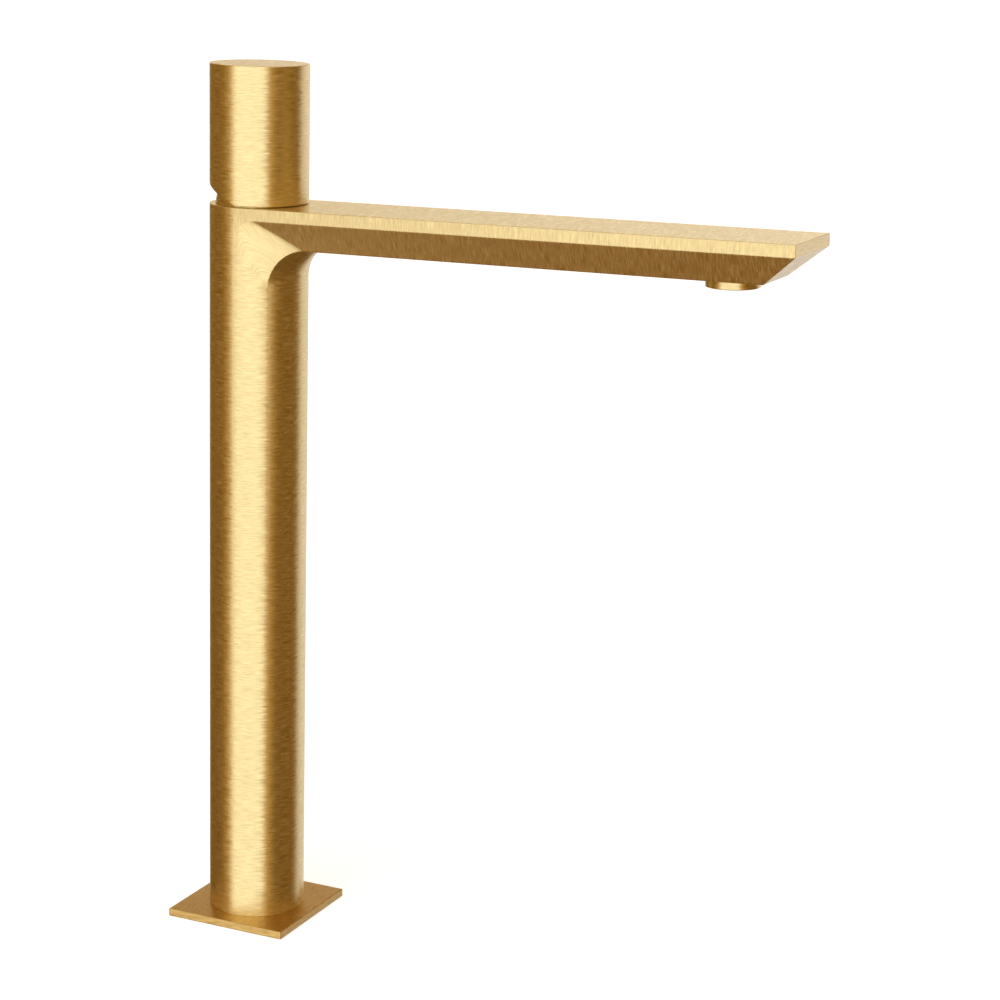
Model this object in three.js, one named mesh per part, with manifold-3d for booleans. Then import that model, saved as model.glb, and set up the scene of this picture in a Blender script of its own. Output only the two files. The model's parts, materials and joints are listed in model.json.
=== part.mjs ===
// A tall deck-mounted basin mixer: a round column with a slab spout, a joystick handle on top, a square
// base plate, and everything inside it, from the mixing cartridge down to the clamp under the deck.
// Millimetres, +Z up. The origin is the centre of the base plate's lower face, on the deck.
// The spout points along -Y, so +X is the left-hand (hot) side of a user who faces the mixer.
import * as THREE from "three";
import { mergeVertices } from "three/addons/utils/BufferGeometryUtils.js";
import Module from "manifold-3d";

const wasm = await Module();
wasm.setup();

// ---------------------------------------------------------------- clearances
const TOUCH = 0.05; // two flat faces that rest on each other
const FIT = 0.3; // a fixed piece in its seat
const RUN = 0.4; // a piece that turns or slides past another
const THREAD = 0.25; // a thread in its thread, both drawn plain

// ---------------------------------------------------------------- driving sizes
const BODY_R = 18; // column radius
const BODY_WALL = 2.1;
const BODY_TOP = 272.4; // height of the column's top face over the deck
const PLATE_SIDE = 49;
const PLATE_T = 3;

const SPOUT_RISE = THREE.MathUtils.degToRad(1.05); // the spout climbs this much towards its tip
const SPOUT_TIP = 210; // column axis to the tip
const SPOUT_T = 14.75; // top face to underside
const SPOUT_EDGE = 4.25; // height of the upright edge band
const SPOUT_FLAT = 24.7; // width of the flat underside
const TIP_BEVEL = 12.75; // how far the tip's bevel runs back along the underside

const BLEND_MID_R = 12; // fillet under the spout, at the middle of the column
const BLEND_CREASE_R = 15; // where the underside meets the side bevel
const BLEND_EDGE_R = 8; // where the side bevel meets the edge band
const BLEND_CREASE_W = 28; // width between the two creases where they die on the column

const HANDLE_H = 49.5;
const HANDLE_WALL = 1.8;
const HANDLE_CAP = 5; // thickness of the handle's closed top
const HANDLE_GAP = 0.65; // handle over the column's top face
const HANDLE_BEVEL = THREE.MathUtils.degToRad(23.5); // cut away at the back, so that the handle can tilt
const HANDLE_EDGE = 0.4; // the top edge is broken by this much
const DOME_WALL = 1.5;
const DOME_SKIRT_WALL = 1.4;
const DOME_OPENING = THREE.MathUtils.degToRad(44); // half angle of the hole that the lever leaves through
const DOME_SEAT = 3.6; // how far below the column's top face the dome cover stands

const INSERT_RISE = 19.6; // dome's centre to the insert in the handle
const INSERT_H = 12;
const SET_SCREW_R = 2.4;
const SET_SCREW_L = 9;
const SET_SCREW_KEY = 2.5; // across the flats of its hexagon recess, and its depth
const PLUG_R = 2.7;
const PLUG_PLAY = 0.15; // between the plug and its hole

const OUTLET_INSET = 27.5; // tip to the outlet's centre
const AERATOR_R = 9.4;
const AERATOR_DROP = 3; // how far the outlet ring stands below the spout
const AERATOR_THREAD_STEP = 0.8; // the thread is this much smaller in radius than the ring
const AERATOR_THREAD_H = 6.5;
const AERATOR_SEAL_H = 2;
const AERATOR_WALL = 1.7; // thread to the ring's opening
const AERATOR_LIP = 0.4; // the ring's lower edges are broken by this much
const AERATOR_SHELF = 1.6; // height of the shelf that the strainer stands on
const AERATOR_STEP = 0.6; // the ring is this much wider inside, over the shelf
const JETS = 8; // water passages of the strainer
const JET_R = 0.8;
const JET_CIRCLE = 4;
const SCREEN_T = 0.5;
const WATERWAY_R = 3.5;

const CARTRIDGE_R = 12.5;
const NECK_STEP = 2.9; // the housing's neck is this much smaller in radius
const NECK_WALL = 1.2;
const HOLDER_RIM = 1.7; // of the lever's holder, beyond the slot that the lever tilts in
const HOUSING_WALL = 1.3;
const FINGER_ARM = 8.4; // lever pivot to the centre of its driving ball
const FINGER_BALL_R = 2.4;
const PIN_R = 1.3;
const DISC_T = 3;
const DISC_PLAY = 0.3; // between one disc, carrier or base and the next
const CARRIER_DROP = 7.4; // dome's centre to the carrier's top
const CARRIER_H = 6;
const BASE_H = 6; // of the cartridge's base
const BASE_PLUG = 3.2; // how far its plug reaches up into the housing
const SHOULDER_RISE = 1.7; // carrier's top to the housing's shoulder
const NECK_RISE = 4.6; // dome's centre to the top of the housing's neck
const PORT_X = 4.2; // the cartridge's two inlets
const PORT_Y = -3.2;
const INLET_R = 1.8;
const INLET_SEAL_H = 1.5;
const SLIDE = 3; // travel of the sliding disc
const NUT_STEP = 1.1; // the cartridge nut's thread is this much larger in radius than the cartridge
const NUT_HEAD = 4; // height of its hexagon
const NUT_SINK = 2.2; // valve block's top to the foot of the hexagon
const BLOCK_FLOOR = 13.7; // of the valve block, under the cartridge

const RISER_R = 4;
const RISER_WALL = 1;
const RISER_WEB = 1.4; // metal between the two risers' seals
const RISER_Y = -2;
const SOCKET_DEPTH = 8; // of each riser's socket
const SEAL_T = 1.5; // square section of the risers' sealing rings
const RING_R = 0.45; // section radius of the other sealing rings
const RING_DEPTH = 0.8; // of their grooves
const RING_HALF = 0.7; // half the height of their grooves
const RING_PLAY = 0.1; // between a ring and its groove's bottom

const FOOT_TOP = 25;
const FOOT_RING_RISE = 5; // foot block's shoulder to its sealing ring
const SPIGOT_R = 13.4; // the foot block's spigot in the base plate
const PORT_R = 4.5; // hose ports, drawn at the size they are tapped from
const PORT_DEPTH = 12.5;
const STUD_R = 4;
const STUD_Y = 8.4;
const STUD_LENGTH = 75.5;
const STUD_IN = 13.5; // length of stud inside the foot block

const DECK = 20; // deck thickness as clamped
const CLAMP_R = 24;
const CLAMP_SLOT_W = 22.4; // the horseshoe's slot, which the two hoses hang through
const CLAMP_SLOT_END = 2.2;
const CLAMP_SLOT_CORNER = 4; // radius of the slot's inner corners
const CLAMP_RUBBER_T = 3;
const CLAMP_STEEL_T = 2.4;
const NUT_AF = 13;
const NUT_H = 8;

const GASKET_IN_R = 16.5;
const GASKET_OUT_R = 21.5;
const GASKET_T = 1.4;

const FINE = 48; // facets round a large cylinder
const MEDIUM = 32;
const COARSE = 16;

// ---------------------------------------------------------------- sizes that follow
const BORE_R = BODY_R - BODY_WALL;
const FOOT_Z = PLATE_T + TOUCH; // the column and the foot block stand on the base plate
const FOOT_RING_Z = FOOT_Z + FOOT_RING_RISE;
const BLOCK_R = BORE_R - FIT;
const OUTLET_REACH = SPOUT_TIP - OUTLET_INSET; // column axis to the outlet's centre
const THREAD_R = AERATOR_R - AERATOR_THREAD_STEP;
const OUTLET_R = THREAD_R - AERATOR_WALL; // the outlet ring's opening
const RISER_SPACING = 2 * (RISER_R + SEAL_T) + RISER_WEB;
const PIVOT_Z = BODY_TOP; // the handle tilts about the centre of the dome
const HANDLE_IN_R = BODY_R - HANDLE_WALL;
const HANDLE_Z = BODY_TOP + HANDLE_GAP;
const DOME_R = HANDLE_IN_R - RUN - 0.1;
const DOME_IN_R = DOME_R - DOME_WALL;
const DOME_SKIRT_R = BORE_R - FIT - 0.1;

// The cartridge, from its moving parts down to its base, and the valve block that it sits in.
const CARRIER_TOP = PIVOT_Z - CARRIER_DROP;
const CARRIER_Z = CARRIER_TOP - CARRIER_H;
const UPPER_DISC_Z = CARRIER_Z - DISC_PLAY - DISC_T;
const LOWER_DISC_Z = UPPER_DISC_Z - DISC_PLAY - DISC_T;
const BASE_TOP = LOWER_DISC_Z - DISC_PLAY;
const BASE_Z = BASE_TOP - BASE_H;
const HOUSING_Z = BASE_TOP - BASE_PLUG;
const SHOULDER_Z = CARRIER_TOP + SHOULDER_RISE;
const NECK_TOP = PIVOT_Z + NECK_RISE;
const HOUSING_IN_R = CARTRIDGE_R - HOUSING_WALL;
const NECK_R = CARTRIDGE_R - NECK_STEP;
const NECK_IN_R = NECK_R - NECK_WALL;
const DISC_R = HOUSING_IN_R - FIT;
const SLIDING_DISC_R = DISC_R - SLIDE - RUN - 0.1;
const HOLDER_R = NECK_IN_R - RUN;
const LEVER_BALL_R = HOLDER_R / 2; // half of the holder is left on each side for the pin
const LEVER_SIDE = 1.5 * LEVER_BALL_R; // the lever is square above its ball
const SEAT_Z = BASE_Z - FIT; // the valve block's floor
const BLOCK_Z = SEAT_Z - BLOCK_FLOOR;
const BLOCK_TOP = BODY_TOP - DOME_SEAT;
const NUT_THREAD_R = CARTRIDGE_R + NUT_STEP;
const DOME_Z = BLOCK_TOP + TOUCH;
const DOME_RING_Z = DOME_Z + 1.6;
const CARTRIDGE_RING_Z = SHOULDER_Z - 2.7;
const BLOCK_RINGS = [BLOCK_Z + 9, BODY_TOP - 9.5]; // heights of the valve block's two rings

// The handle's insert, its set screw and the plug over the screw.
const INSERT_Z = PIVOT_Z + INSERT_RISE;
const SET_SCREW_Z = INSERT_Z + INSERT_H / 2;
const SET_SCREW_END = LEVER_SIDE / 2 + 0.15 + SET_SCREW_L;
const LEVER_TOP = INSERT_Z + INSERT_H - 1.5;

// ---------------------------------------------------------------- helpers
const materials = {
  gold: new THREE.MeshStandardMaterial({ color: 0xc99a45, roughness: 0.32, metalness: 1 }),
  brass: new THREE.MeshStandardMaterial({ color: 0xb9933f, roughness: 0.45, metalness: 1 }),
  steel: new THREE.MeshStandardMaterial({ color: 0xb4b6b8, roughness: 0.35, metalness: 1 }),
  copper: new THREE.MeshStandardMaterial({ color: 0xb8704a, roughness: 0.38, metalness: 1 }),
  ceramic: new THREE.MeshStandardMaterial({ color: 0xf0eee6, roughness: 0.25, metalness: 0 }),
  housing: new THREE.MeshStandardMaterial({ color: 0xd9d7cf, roughness: 0.55, metalness: 0 }),
  acetal: new THREE.MeshStandardMaterial({ color: 0x2f3a44, roughness: 0.5, metalness: 0 }),
  strainer: new THREE.MeshStandardMaterial({ color: 0x8fa3ad, roughness: 0.5, metalness: 0 }),
  rubber: new THREE.MeshStandardMaterial({ color: 0x1d1d1f, roughness: 0.8, metalness: 0 }),
};

// A closed geometry as a solid that can be joined and cut.
function solid(geometry) {
  const bare = geometry.clone();
  bare.deleteAttribute("normal");
  bare.deleteAttribute("uv");
  const merged = mergeVertices(bare, 1e-4);
  const vertProperties = new Float32Array(merged.attributes.position.array);
  const triVerts = new Uint32Array(merged.index.array);
  return new wasm.Manifold(new wasm.Mesh({ numProp: 3, vertProperties, triVerts }));
}

function geometryOf(made) {
  const mesh = made.getMesh();
  const geometry = new THREE.BufferGeometry();
  geometry.setAttribute("position", new THREE.BufferAttribute(new Float32Array(mesh.vertProperties), 3));
  geometry.setIndex(new THREE.BufferAttribute(new Uint32Array(mesh.triVerts), 1));
  geometry.computeVertexNormals();
  return geometry;
}

// A profile of [radius, z] pairs, anticlockwise, turned round the Z axis.
function turned(profile, facets = MEDIUM) {
  const points = [...profile, profile[0]].map(([r, z]) => new THREE.Vector2(r, z));
  return solid(new THREE.LatheGeometry(points, facets).rotateX(Math.PI / 2));
}

// A rod (or, with an inner radius, a ring) standing along Z, centred on x, y.
function rod(radius, low, high, { x = 0, y = 0, inner = 0, facets = COARSE } = {}) {
  const profile = [[inner, low], [radius, low], [radius, high], [inner, high]];
  return turned(profile, facets).translate([x, y, 0]);
}

// A rod between two points.
function rodBetween(radius, from, to, facets = COARSE) {
  const a = new THREE.Vector3(...from);
  const b = new THREE.Vector3(...to);
  const way = b.clone().sub(a);
  const geometry = new THREE.CylinderGeometry(radius, radius, way.length(), facets);
  const up = new THREE.Vector3(0, 1, 0);
  geometry.applyQuaternion(new THREE.Quaternion().setFromUnitVectors(up, way.normalize()));
  const middle = a.add(b).multiplyScalar(0.5);
  return solid(geometry.translate(middle.x, middle.y, middle.z));
}

function block([x0, x1], [y0, y1], [z0, z1]) {
  const geometry = new THREE.BoxGeometry(x1 - x0, y1 - y0, z1 - z0);
  return solid(geometry.translate((x0 + x1) / 2, (y0 + y1) / 2, (z0 + z1) / 2));
}

function ball(radius, z, facets = 16) {
  return solid(new THREE.SphereGeometry(radius, facets, facets / 2).rotateX(Math.PI / 2).translate(0, 0, z));
}

// An outline in the XY plane, raised from low to high.
function raised(shape, low, high, curveSegments = 12) {
  const depth = high - low;
  const geometry = new THREE.ExtrudeGeometry(shape, { depth, bevelEnabled: false, curveSegments });
  return solid(geometry.translate(0, 0, low));
}

// An outline of [y, z] pairs, anticlockwise as seen from +X, carried across X by half a width each way.
function across(outline, halfWidth) {
  const shape = new THREE.Shape(outline.map(([y, z]) => new THREE.Vector2(y, z)));
  const geometry = new THREE.ExtrudeGeometry(shape, { depth: 2 * halfWidth, bevelEnabled: false });
  const turn = new THREE.Matrix4().makeBasis(
    new THREE.Vector3(0, 1, 0),
    new THREE.Vector3(0, 0, 1),
    new THREE.Vector3(1, 0, 0),
  );
  return solid(geometry.applyMatrix4(turn).translate(-halfWidth, 0, 0));
}

// The profile points of a ring groove, going up a surface of this radius.
function ringGroove(radius, z) {
  const bottom = radius - RING_DEPTH;
  return [[radius, z - RING_HALF], [bottom, z - RING_HALF], [bottom, z + RING_HALF], [radius, z + RING_HALF]];
}

// The rubber ring that lies in such a groove.
function sealingRing(radius, z) {
  const middle = radius - RING_DEPTH + RING_R + RING_PLAY;
  return solid(new THREE.TorusGeometry(middle, RING_R, 6, MEDIUM).translate(0, 0, z));
}

const joined = (...solids) => solids.reduce((a, b) => a.add(b));
const cut = (from, ...cutters) => cutters.reduce((a, b) => a.subtract(b), from);

// The spout's own frame: it lies along -Y from the column's axis, with its top face at height 0.
const spoutFrame = new THREE.Matrix4()
  .makeTranslation(0, 0, BODY_TOP)
  .multiply(new THREE.Matrix4().makeRotationX(-SPOUT_RISE));

function spoutPoint(x, reach, height) {
  return new THREE.Vector3(x, -reach, height).applyMatrix4(spoutFrame).toArray();
}

// A solid made in the spout's frame, put in its place.
function onSpout(made) {
  return made.transform(spoutFrame.toArray());
}

// ---------------------------------------------------------------- column and spout
// Thickness of the spout at a distance from its middle plane: full over the flat, then along the side bevel.
function spoutThickness(x) {
  const flat = SPOUT_FLAT / 2;
  const along = Math.max(0, (x - flat) / (BODY_R - flat));
  return SPOUT_T + along * (SPOUT_EDGE - SPOUT_T);
}

function spoutBar() {
  const section = new THREE.Shape([
    new THREE.Vector2(-BODY_R, 0),
    new THREE.Vector2(-BODY_R, -SPOUT_EDGE),
    new THREE.Vector2(-SPOUT_FLAT / 2, -SPOUT_T),
    new THREE.Vector2(SPOUT_FLAT / 2, -SPOUT_T),
    new THREE.Vector2(BODY_R, -SPOUT_EDGE),
    new THREE.Vector2(BODY_R, 0),
  ]);
  const bar = new THREE.ExtrudeGeometry(section, { depth: SPOUT_TIP, bevelEnabled: false });
  bar.rotateX(Math.PI / 2);
  const side = across([
    [-SPOUT_TIP - 1, 1],
    [-SPOUT_TIP - 1, -SPOUT_EDGE],
    [-SPOUT_TIP, -SPOUT_EDGE],
    [-SPOUT_TIP + TIP_BEVEL, -SPOUT_T],
    [-SPOUT_TIP + TIP_BEVEL, -SPOUT_T - 1],
    [1, -SPOUT_T - 1],
    [1, 1],
  ], BODY_R + 1);
  return onSpout(solid(bar).intersect(side));
}

// One side-view section of the blend between column and spout, as points from the column up and out.
// x0 is its place across the column, x1 its place across the spout.
function blendSection(x0, x1, radius, steps) {
  const columnU = Math.sqrt(Math.max(0, BODY_R ** 2 - x0 ** 2));
  const rise = Math.tan(SPOUT_RISE);
  const centreU = columnU + radius;
  const underside = BODY_TOP - spoutThickness(Math.abs(x1)) / Math.cos(SPOUT_RISE);
  const centreZ = underside + rise * centreU - radius / Math.cos(SPOUT_RISE);
  const points = [];
  for (let i = 0; i <= steps; i++) {
    const share = i / steps;
    const angle = share * (Math.PI / 2 - SPOUT_RISE);
    const x = THREE.MathUtils.lerp(x0, x1, THREE.MathUtils.smoothstep(share, 0, 1));
    points.push([x, -(centreU - radius * Math.cos(angle)), centreZ + radius * Math.sin(angle)]);
  }
  // Two more corners close the section inside the spout and the column.
  const inside = BODY_TOP - SPOUT_EDGE / 2;
  points.push([x1, points[steps][1], inside]);
  points.push([x0, -columnU / 2, inside]);
  points.push([x0, -columnU / 2, centreZ]);
  return points;
}

function blend() {
  const steps = 12;
  const sections = [];
  const { lerp } = THREE.MathUtils;
  const creaseAngle = Math.asin(BLEND_CREASE_W / 2 / BODY_R); // round the column, from its front line
  for (const v of [0, 0.25, 0.5, 0.75, 1]) {
    const radius = BLEND_MID_R + (BLEND_CREASE_R - BLEND_MID_R) * v ** 4;
    sections.push([BODY_R * Math.sin(v * creaseAngle), (v * SPOUT_FLAT) / 2, radius]);
  }
  for (const v of [0.25, 0.5, 0.75, 1]) {
    const angle = lerp(creaseAngle, Math.PI / 2, v);
    const radius = lerp(BLEND_CREASE_R, BLEND_EDGE_R, v);
    sections.push([BODY_R * Math.sin(angle), lerp(SPOUT_FLAT / 2, BODY_R, v), radius]);
  }
  const mirrored = sections.slice(1).reverse().map(([x0, x1, r]) => [-x0, -x1, r]);
  const rows = [...mirrored, ...sections].map(([x0, x1, r]) => blendSection(x0, x1, r, steps));
  const around = rows[0].length;
  const index = [];
  for (let i = 0; i + 1 < rows.length; i++) {
    for (let j = 0; j < around; j++) {
      const k = (j + 1) % around;
      const [a, b, c, d] = [i * around + j, i * around + k, (i + 1) * around + k, (i + 1) * around + j];
      index.push(a, d, b, b, d, c);
    }
  }
  const corner = around - 2; // each end section is star-shaped about its corner inside the column
  const last = (rows.length - 1) * around;
  for (let j = 0; j < around; j++) {
    const k = (j + 1) % around;
    if (j === corner || k === corner) continue;
    index.push(corner, j, k, last + corner, last + k, last + j);
  }
  const geometry = new THREE.BufferGeometry();
  geometry.setAttribute("position", new THREE.Float32BufferAttribute(rows.flat(2), 3));
  geometry.setIndex(index);
  return solid(geometry);
}

// The water's way out: up from the cartridge through the column's wall, then along the spout to the outlet.
function waterway() {
  const start = [0, -BORE_R + 4, BODY_TOP - 15.3];
  const bend = spoutPoint(0, BODY_R + 16, -SPOUT_T / 2);
  const end = spoutPoint(0, OUTLET_REACH, -SPOUT_T / 2);
  const elbow = ball(WATERWAY_R, 0).translate(bend);
  return joined(rodBetween(WATERWAY_R, start, bend, 16), rodBetween(WATERWAY_R, bend, end, 16), elbow);
}

function faucetBody() {
  const column = rod(BODY_R, FOOT_Z, BODY_TOP, { facets: FINE });
  const bore = rod(BORE_R, 0, BODY_TOP + 1, { facets: FINE });
  const outletDepth = AERATOR_THREAD_H + AERATOR_SEAL_H + 2 * FIT;
  const place = { y: -OUTLET_REACH, facets: MEDIUM };
  const outletBore = onSpout(rod(THREAD_R + THREAD, -SPOUT_T - 1, -SPOUT_T + outletDepth, place));
  return cut(joined(column, spoutBar(), blend()), bore, outletBore, waterway());
}

// ---------------------------------------------------------------- outlet
function outletRing() {
  const low = -SPOUT_T - AERATOR_DROP;
  const seat = -SPOUT_T - FIT;
  const top = -SPOUT_T + AERATOR_THREAD_H;
  const inside = OUTLET_R + AERATOR_STEP;
  const ring = turned([
    [OUTLET_R, low + AERATOR_LIP],
    [OUTLET_R + AERATOR_LIP, low],
    [AERATOR_R - AERATOR_LIP, low],
    [AERATOR_R, low + AERATOR_LIP],
    [AERATOR_R, seat],
    [THREAD_R, seat],
    [THREAD_R, top],
    [inside, top],
    [inside, low + AERATOR_SHELF],
    [OUTLET_R, low + AERATOR_SHELF],
  ], MEDIUM);
  return onSpout(ring.translate([0, -OUTLET_REACH, 0]));
}

function outletStrainer() {
  const low = -SPOUT_T - AERATOR_DROP + AERATOR_SHELF + FIT;
  const radius = OUTLET_R + AERATOR_STEP - FIT;
  const body = rod(radius, low + 1, -SPOUT_T + AERATOR_THREAD_H - 0.5, { facets: MEDIUM });
  const bowl = rod(radius - 1.2, low, low + 3, { facets: MEDIUM });
  const jets = [];
  for (let i = 0; i < JETS; i++) {
    const angle = (i / JETS) * 2 * Math.PI;
    const place = { x: JET_CIRCLE * Math.cos(angle), y: JET_CIRCLE * Math.sin(angle), facets: 8 };
    jets.push(rod(JET_R, low - 1, 0, place));
  }
  return onSpout(cut(joined(body, bowl), ...jets).translate([0, -OUTLET_REACH, 0]));
}

function outletScreen() {
  const low = -SPOUT_T - AERATOR_DROP + 0.9;
  return onSpout(rod(OUTLET_R - 0.2, low, low + SCREEN_T, { y: -OUTLET_REACH, facets: MEDIUM }));
}

function outletSeal() {
  const low = -SPOUT_T + AERATOR_THREAD_H + FIT;
  const size = { y: -OUTLET_REACH, inner: THREAD_R - 2, facets: MEDIUM };
  return onSpout(rod(THREAD_R, low, low + AERATOR_SEAL_H, size));
}

// ---------------------------------------------------------------- handle
function handleShell() {
  const top = HANDLE_Z + HANDLE_H;
  const shell = turned([
    [0, top - HANDLE_CAP],
    [HANDLE_IN_R, top - HANDLE_CAP],
    [HANDLE_IN_R, HANDLE_Z],
    [BODY_R, HANDLE_Z],
    [BODY_R, top - HANDLE_EDGE],
    [BODY_R - HANDLE_EDGE, top],
    [0, top],
  ], FINE);
  const slope = Math.tan(HANDLE_BEVEL);
  const beyond = BODY_R + 5;
  const bevel = across([
    [-1 / slope, HANDLE_Z - 1],
    [beyond, HANDLE_Z - 1],
    [beyond, HANDLE_Z + beyond * slope],
  ], beyond);
  const access = rodBetween(PLUG_R + PLUG_PLAY, [0, HANDLE_IN_R - 2, SET_SCREW_Z], [0, beyond, SET_SCREW_Z]);
  return cut(shell, bevel, access);
}

function handleInsert() {
  const puck = rod(HANDLE_IN_R - FIT, INSERT_Z, INSERT_Z + INSERT_H, { facets: FINE });
  const half = LEVER_SIDE / 2 + FIT;
  const socket = block([-half, half], [-half, half], [INSERT_Z - 1, LEVER_TOP + 0.5]);
  const thread = rodBetween(SET_SCREW_R + THREAD, [0, 0, SET_SCREW_Z], [0, BODY_R, SET_SCREW_Z]);
  const seat = [0, SET_SCREW_END + 0.5, SET_SCREW_Z];
  const mouth = rodBetween(PLUG_R + PLUG_PLAY, seat, [0, BODY_R, SET_SCREW_Z]);
  return cut(puck, socket, thread, mouth);
}

function setScrew() {
  const end = SET_SCREW_END;
  const tip = end - SET_SCREW_L;
  const key = SET_SCREW_KEY / Math.sqrt(3);
  const screw = rodBetween(SET_SCREW_R, [0, tip, SET_SCREW_Z], [0, end, SET_SCREW_Z]);
  const recess = rodBetween(key, [0, end - SET_SCREW_KEY, SET_SCREW_Z], [0, end + 1, SET_SCREW_Z], 6);
  return cut(screw, recess);
}

function screwPlug() {
  return rodBetween(PLUG_R, [0, SET_SCREW_END + 1, SET_SCREW_Z], [0, BODY_R - 0.25, SET_SCREW_Z]);
}

function lever() {
  const half = LEVER_SIDE / 2;
  const stem = block([-half, half], [-half, half], [PIVOT_Z, LEVER_TOP]);
  const finger = rod(2, PIVOT_Z - FINGER_ARM, PIVOT_Z, {});
  const driver = ball(FINGER_BALL_R, PIVOT_Z - FINGER_ARM);
  const pinHole = rodBetween(PIN_R + RUN, [-HOLDER_R, 0, PIVOT_Z], [HOLDER_R, 0, PIVOT_Z]);
  return cut(joined(ball(LEVER_BALL_R, PIVOT_Z), stem, finger, driver), pinHole);
}

function dome() {
  const arc = (radius, from, to, facets) => Array.from({ length: facets + 1 }, (_, i) => {
    const angle = THREE.MathUtils.lerp(from, to, i / facets);
    return [radius * Math.cos(angle), PIVOT_Z + radius * Math.sin(angle)];
  });
  const lip = Math.PI / 2 - DOME_OPENING;
  const skirtIn = DOME_SKIRT_R - DOME_SKIRT_WALL;
  return turned([
    [skirtIn, DOME_Z],
    [DOME_SKIRT_R, DOME_Z],
    ...ringGroove(DOME_SKIRT_R, DOME_RING_Z),
    [DOME_SKIRT_R, PIVOT_Z - 0.3],
    ...arc(DOME_R, 0, lip, 7),
    ...arc(DOME_IN_R, lip, 0, 4),
    [skirtIn, PIVOT_Z - 0.3],
  ], MEDIUM);
}

// ---------------------------------------------------------------- cartridge
function twoInlets(radius, low, high, facets = 16) {
  return [-1, 1].map((s) => rod(radius, low, high, { x: s * PORT_X, y: PORT_Y, facets }));
}

function cartridgeBase() {
  const flange = rod(CARTRIDGE_R, BASE_Z, HOUSING_Z - TOUCH, { facets: MEDIUM });
  const plug = rod(HOUSING_IN_R - FIT, BASE_Z, BASE_TOP, { facets: MEDIUM });
  const seats = twoInlets(INLET_R + 1.3, BASE_Z - 1, BASE_Z + 1.4);
  return cut(joined(flange, plug), ...seats, ...twoInlets(INLET_R, BASE_Z - 1, BASE_TOP + 1));
}

function portSeal(side) {
  const size = { x: side * PORT_X, y: PORT_Y, inner: INLET_R, facets: 16 };
  const low = BASE_Z - 0.2;
  return rod(INLET_R + 1.1, low, low + INLET_SEAL_H, size);
}

function lowerDisc() {
  const disc = rod(DISC_R, LOWER_DISC_Z, LOWER_DISC_Z + DISC_T, { facets: MEDIUM });
  return cut(disc, ...twoInlets(INLET_R, LOWER_DISC_Z - 1, UPPER_DISC_Z));
}

function upperDisc() {
  const disc = rod(SLIDING_DISC_R, UPPER_DISC_Z, UPPER_DISC_Z + DISC_T, { facets: MEDIUM });
  const chamber = rod(3.4, UPPER_DISC_Z - 1, UPPER_DISC_Z + 1.6, { y: 2.6 });
  const key = block([-2, 2], [-1, 1], [UPPER_DISC_Z + DISC_T - 1, UPPER_DISC_Z + DISC_T + 1]);
  return cut(disc, chamber, key);
}

function discCarrier() {
  const carrier = rod(SLIDING_DISC_R + 0.2, CARRIER_Z, CARRIER_TOP, { facets: MEDIUM });
  const pocket = rod(FINGER_BALL_R + RUN, CARRIER_TOP - 4, CARRIER_TOP + 1, {});
  const key = block([-1.7, 1.7], [-0.7, 0.7], [CARRIER_Z - 0.9, CARRIER_Z + 1]);
  return cut(joined(carrier, key), pocket);
}

function cartridgeHousing() {
  const shell = turned([
    [HOUSING_IN_R, HOUSING_Z],
    [CARTRIDGE_R, HOUSING_Z],
    ...ringGroove(CARTRIDGE_R, CARTRIDGE_RING_Z),
    [CARTRIDGE_R, SHOULDER_Z],
    [NECK_R, SHOULDER_Z],
    [NECK_R, NECK_TOP],
    [NECK_IN_R, NECK_TOP],
    [NECK_IN_R, SHOULDER_Z - HOUSING_WALL],
    [HOUSING_IN_R, SHOULDER_Z - HOUSING_WALL],
  ], MEDIUM);
  // The mixed water leaves through a window on the spout's side.
  const window = block([-4, 4], [-CARTRIDGE_R - 1, -6], [UPPER_DISC_Z + 0.4, CARRIER_TOP - 3]);
  return cut(shell, window);
}

function leverHolder() {
  const holder = rod(HOLDER_R, CARRIER_TOP + RUN, NECK_TOP + 0.4, { facets: MEDIUM });
  const half = LEVER_BALL_R + RUN;
  const reach = HOLDER_R - HOLDER_RIM;
  const slot = block([-half, half], [-reach, reach], [CARRIER_TOP, NECK_TOP + 2]);
  const pinHole = rodBetween(PIN_R + 0.15, [-HOLDER_R, 0, PIVOT_Z], [HOLDER_R, 0, PIVOT_Z]);
  return cut(holder, slot, pinHole);
}

function pivotPin() {
  const half = HOLDER_R - 0.5;
  return rodBetween(PIN_R, [-half, 0, PIVOT_Z], [half, 0, PIVOT_Z]);
}

function cartridgeNut() {
  const low = SHOULDER_Z + TOUCH;
  const step = BLOCK_TOP + NUT_SINK;
  const ring = rod(NUT_THREAD_R, low, step, { facets: MEDIUM });
  const hexagon = rod(CARTRIDGE_R + RUN, step - 1, step + NUT_HEAD, { facets: 6 });
  return cut(joined(ring, hexagon), rod(NECK_R + FIT, low - 1, step + NUT_HEAD + 1, { facets: MEDIUM }));
}

function valveBlock() {
  const shell = turned([
    [0, BLOCK_Z],
    [BLOCK_R, BLOCK_Z],
    ...BLOCK_RINGS.flatMap((z) => ringGroove(BLOCK_R, z)),
    [BLOCK_R, BLOCK_TOP],
    [NUT_THREAD_R + THREAD, BLOCK_TOP],
    [NUT_THREAD_R + THREAD, SHOULDER_Z - 1],
    [CARTRIDGE_R + FIT, SHOULDER_Z - 1],
    [CARTRIDGE_R + FIT, SEAT_Z],
    [0, SEAT_Z],
  ], MEDIUM);
  const sockets = [-1, 1].flatMap((s) => riserSocket(s, BLOCK_Z, 1));
  const inlets = twoInlets(INLET_R, BLOCK_Z + SOCKET_DEPTH - 1, SEAT_Z + 1);
  return cut(shell, ...sockets, ...inlets, waterway());
}

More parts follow.
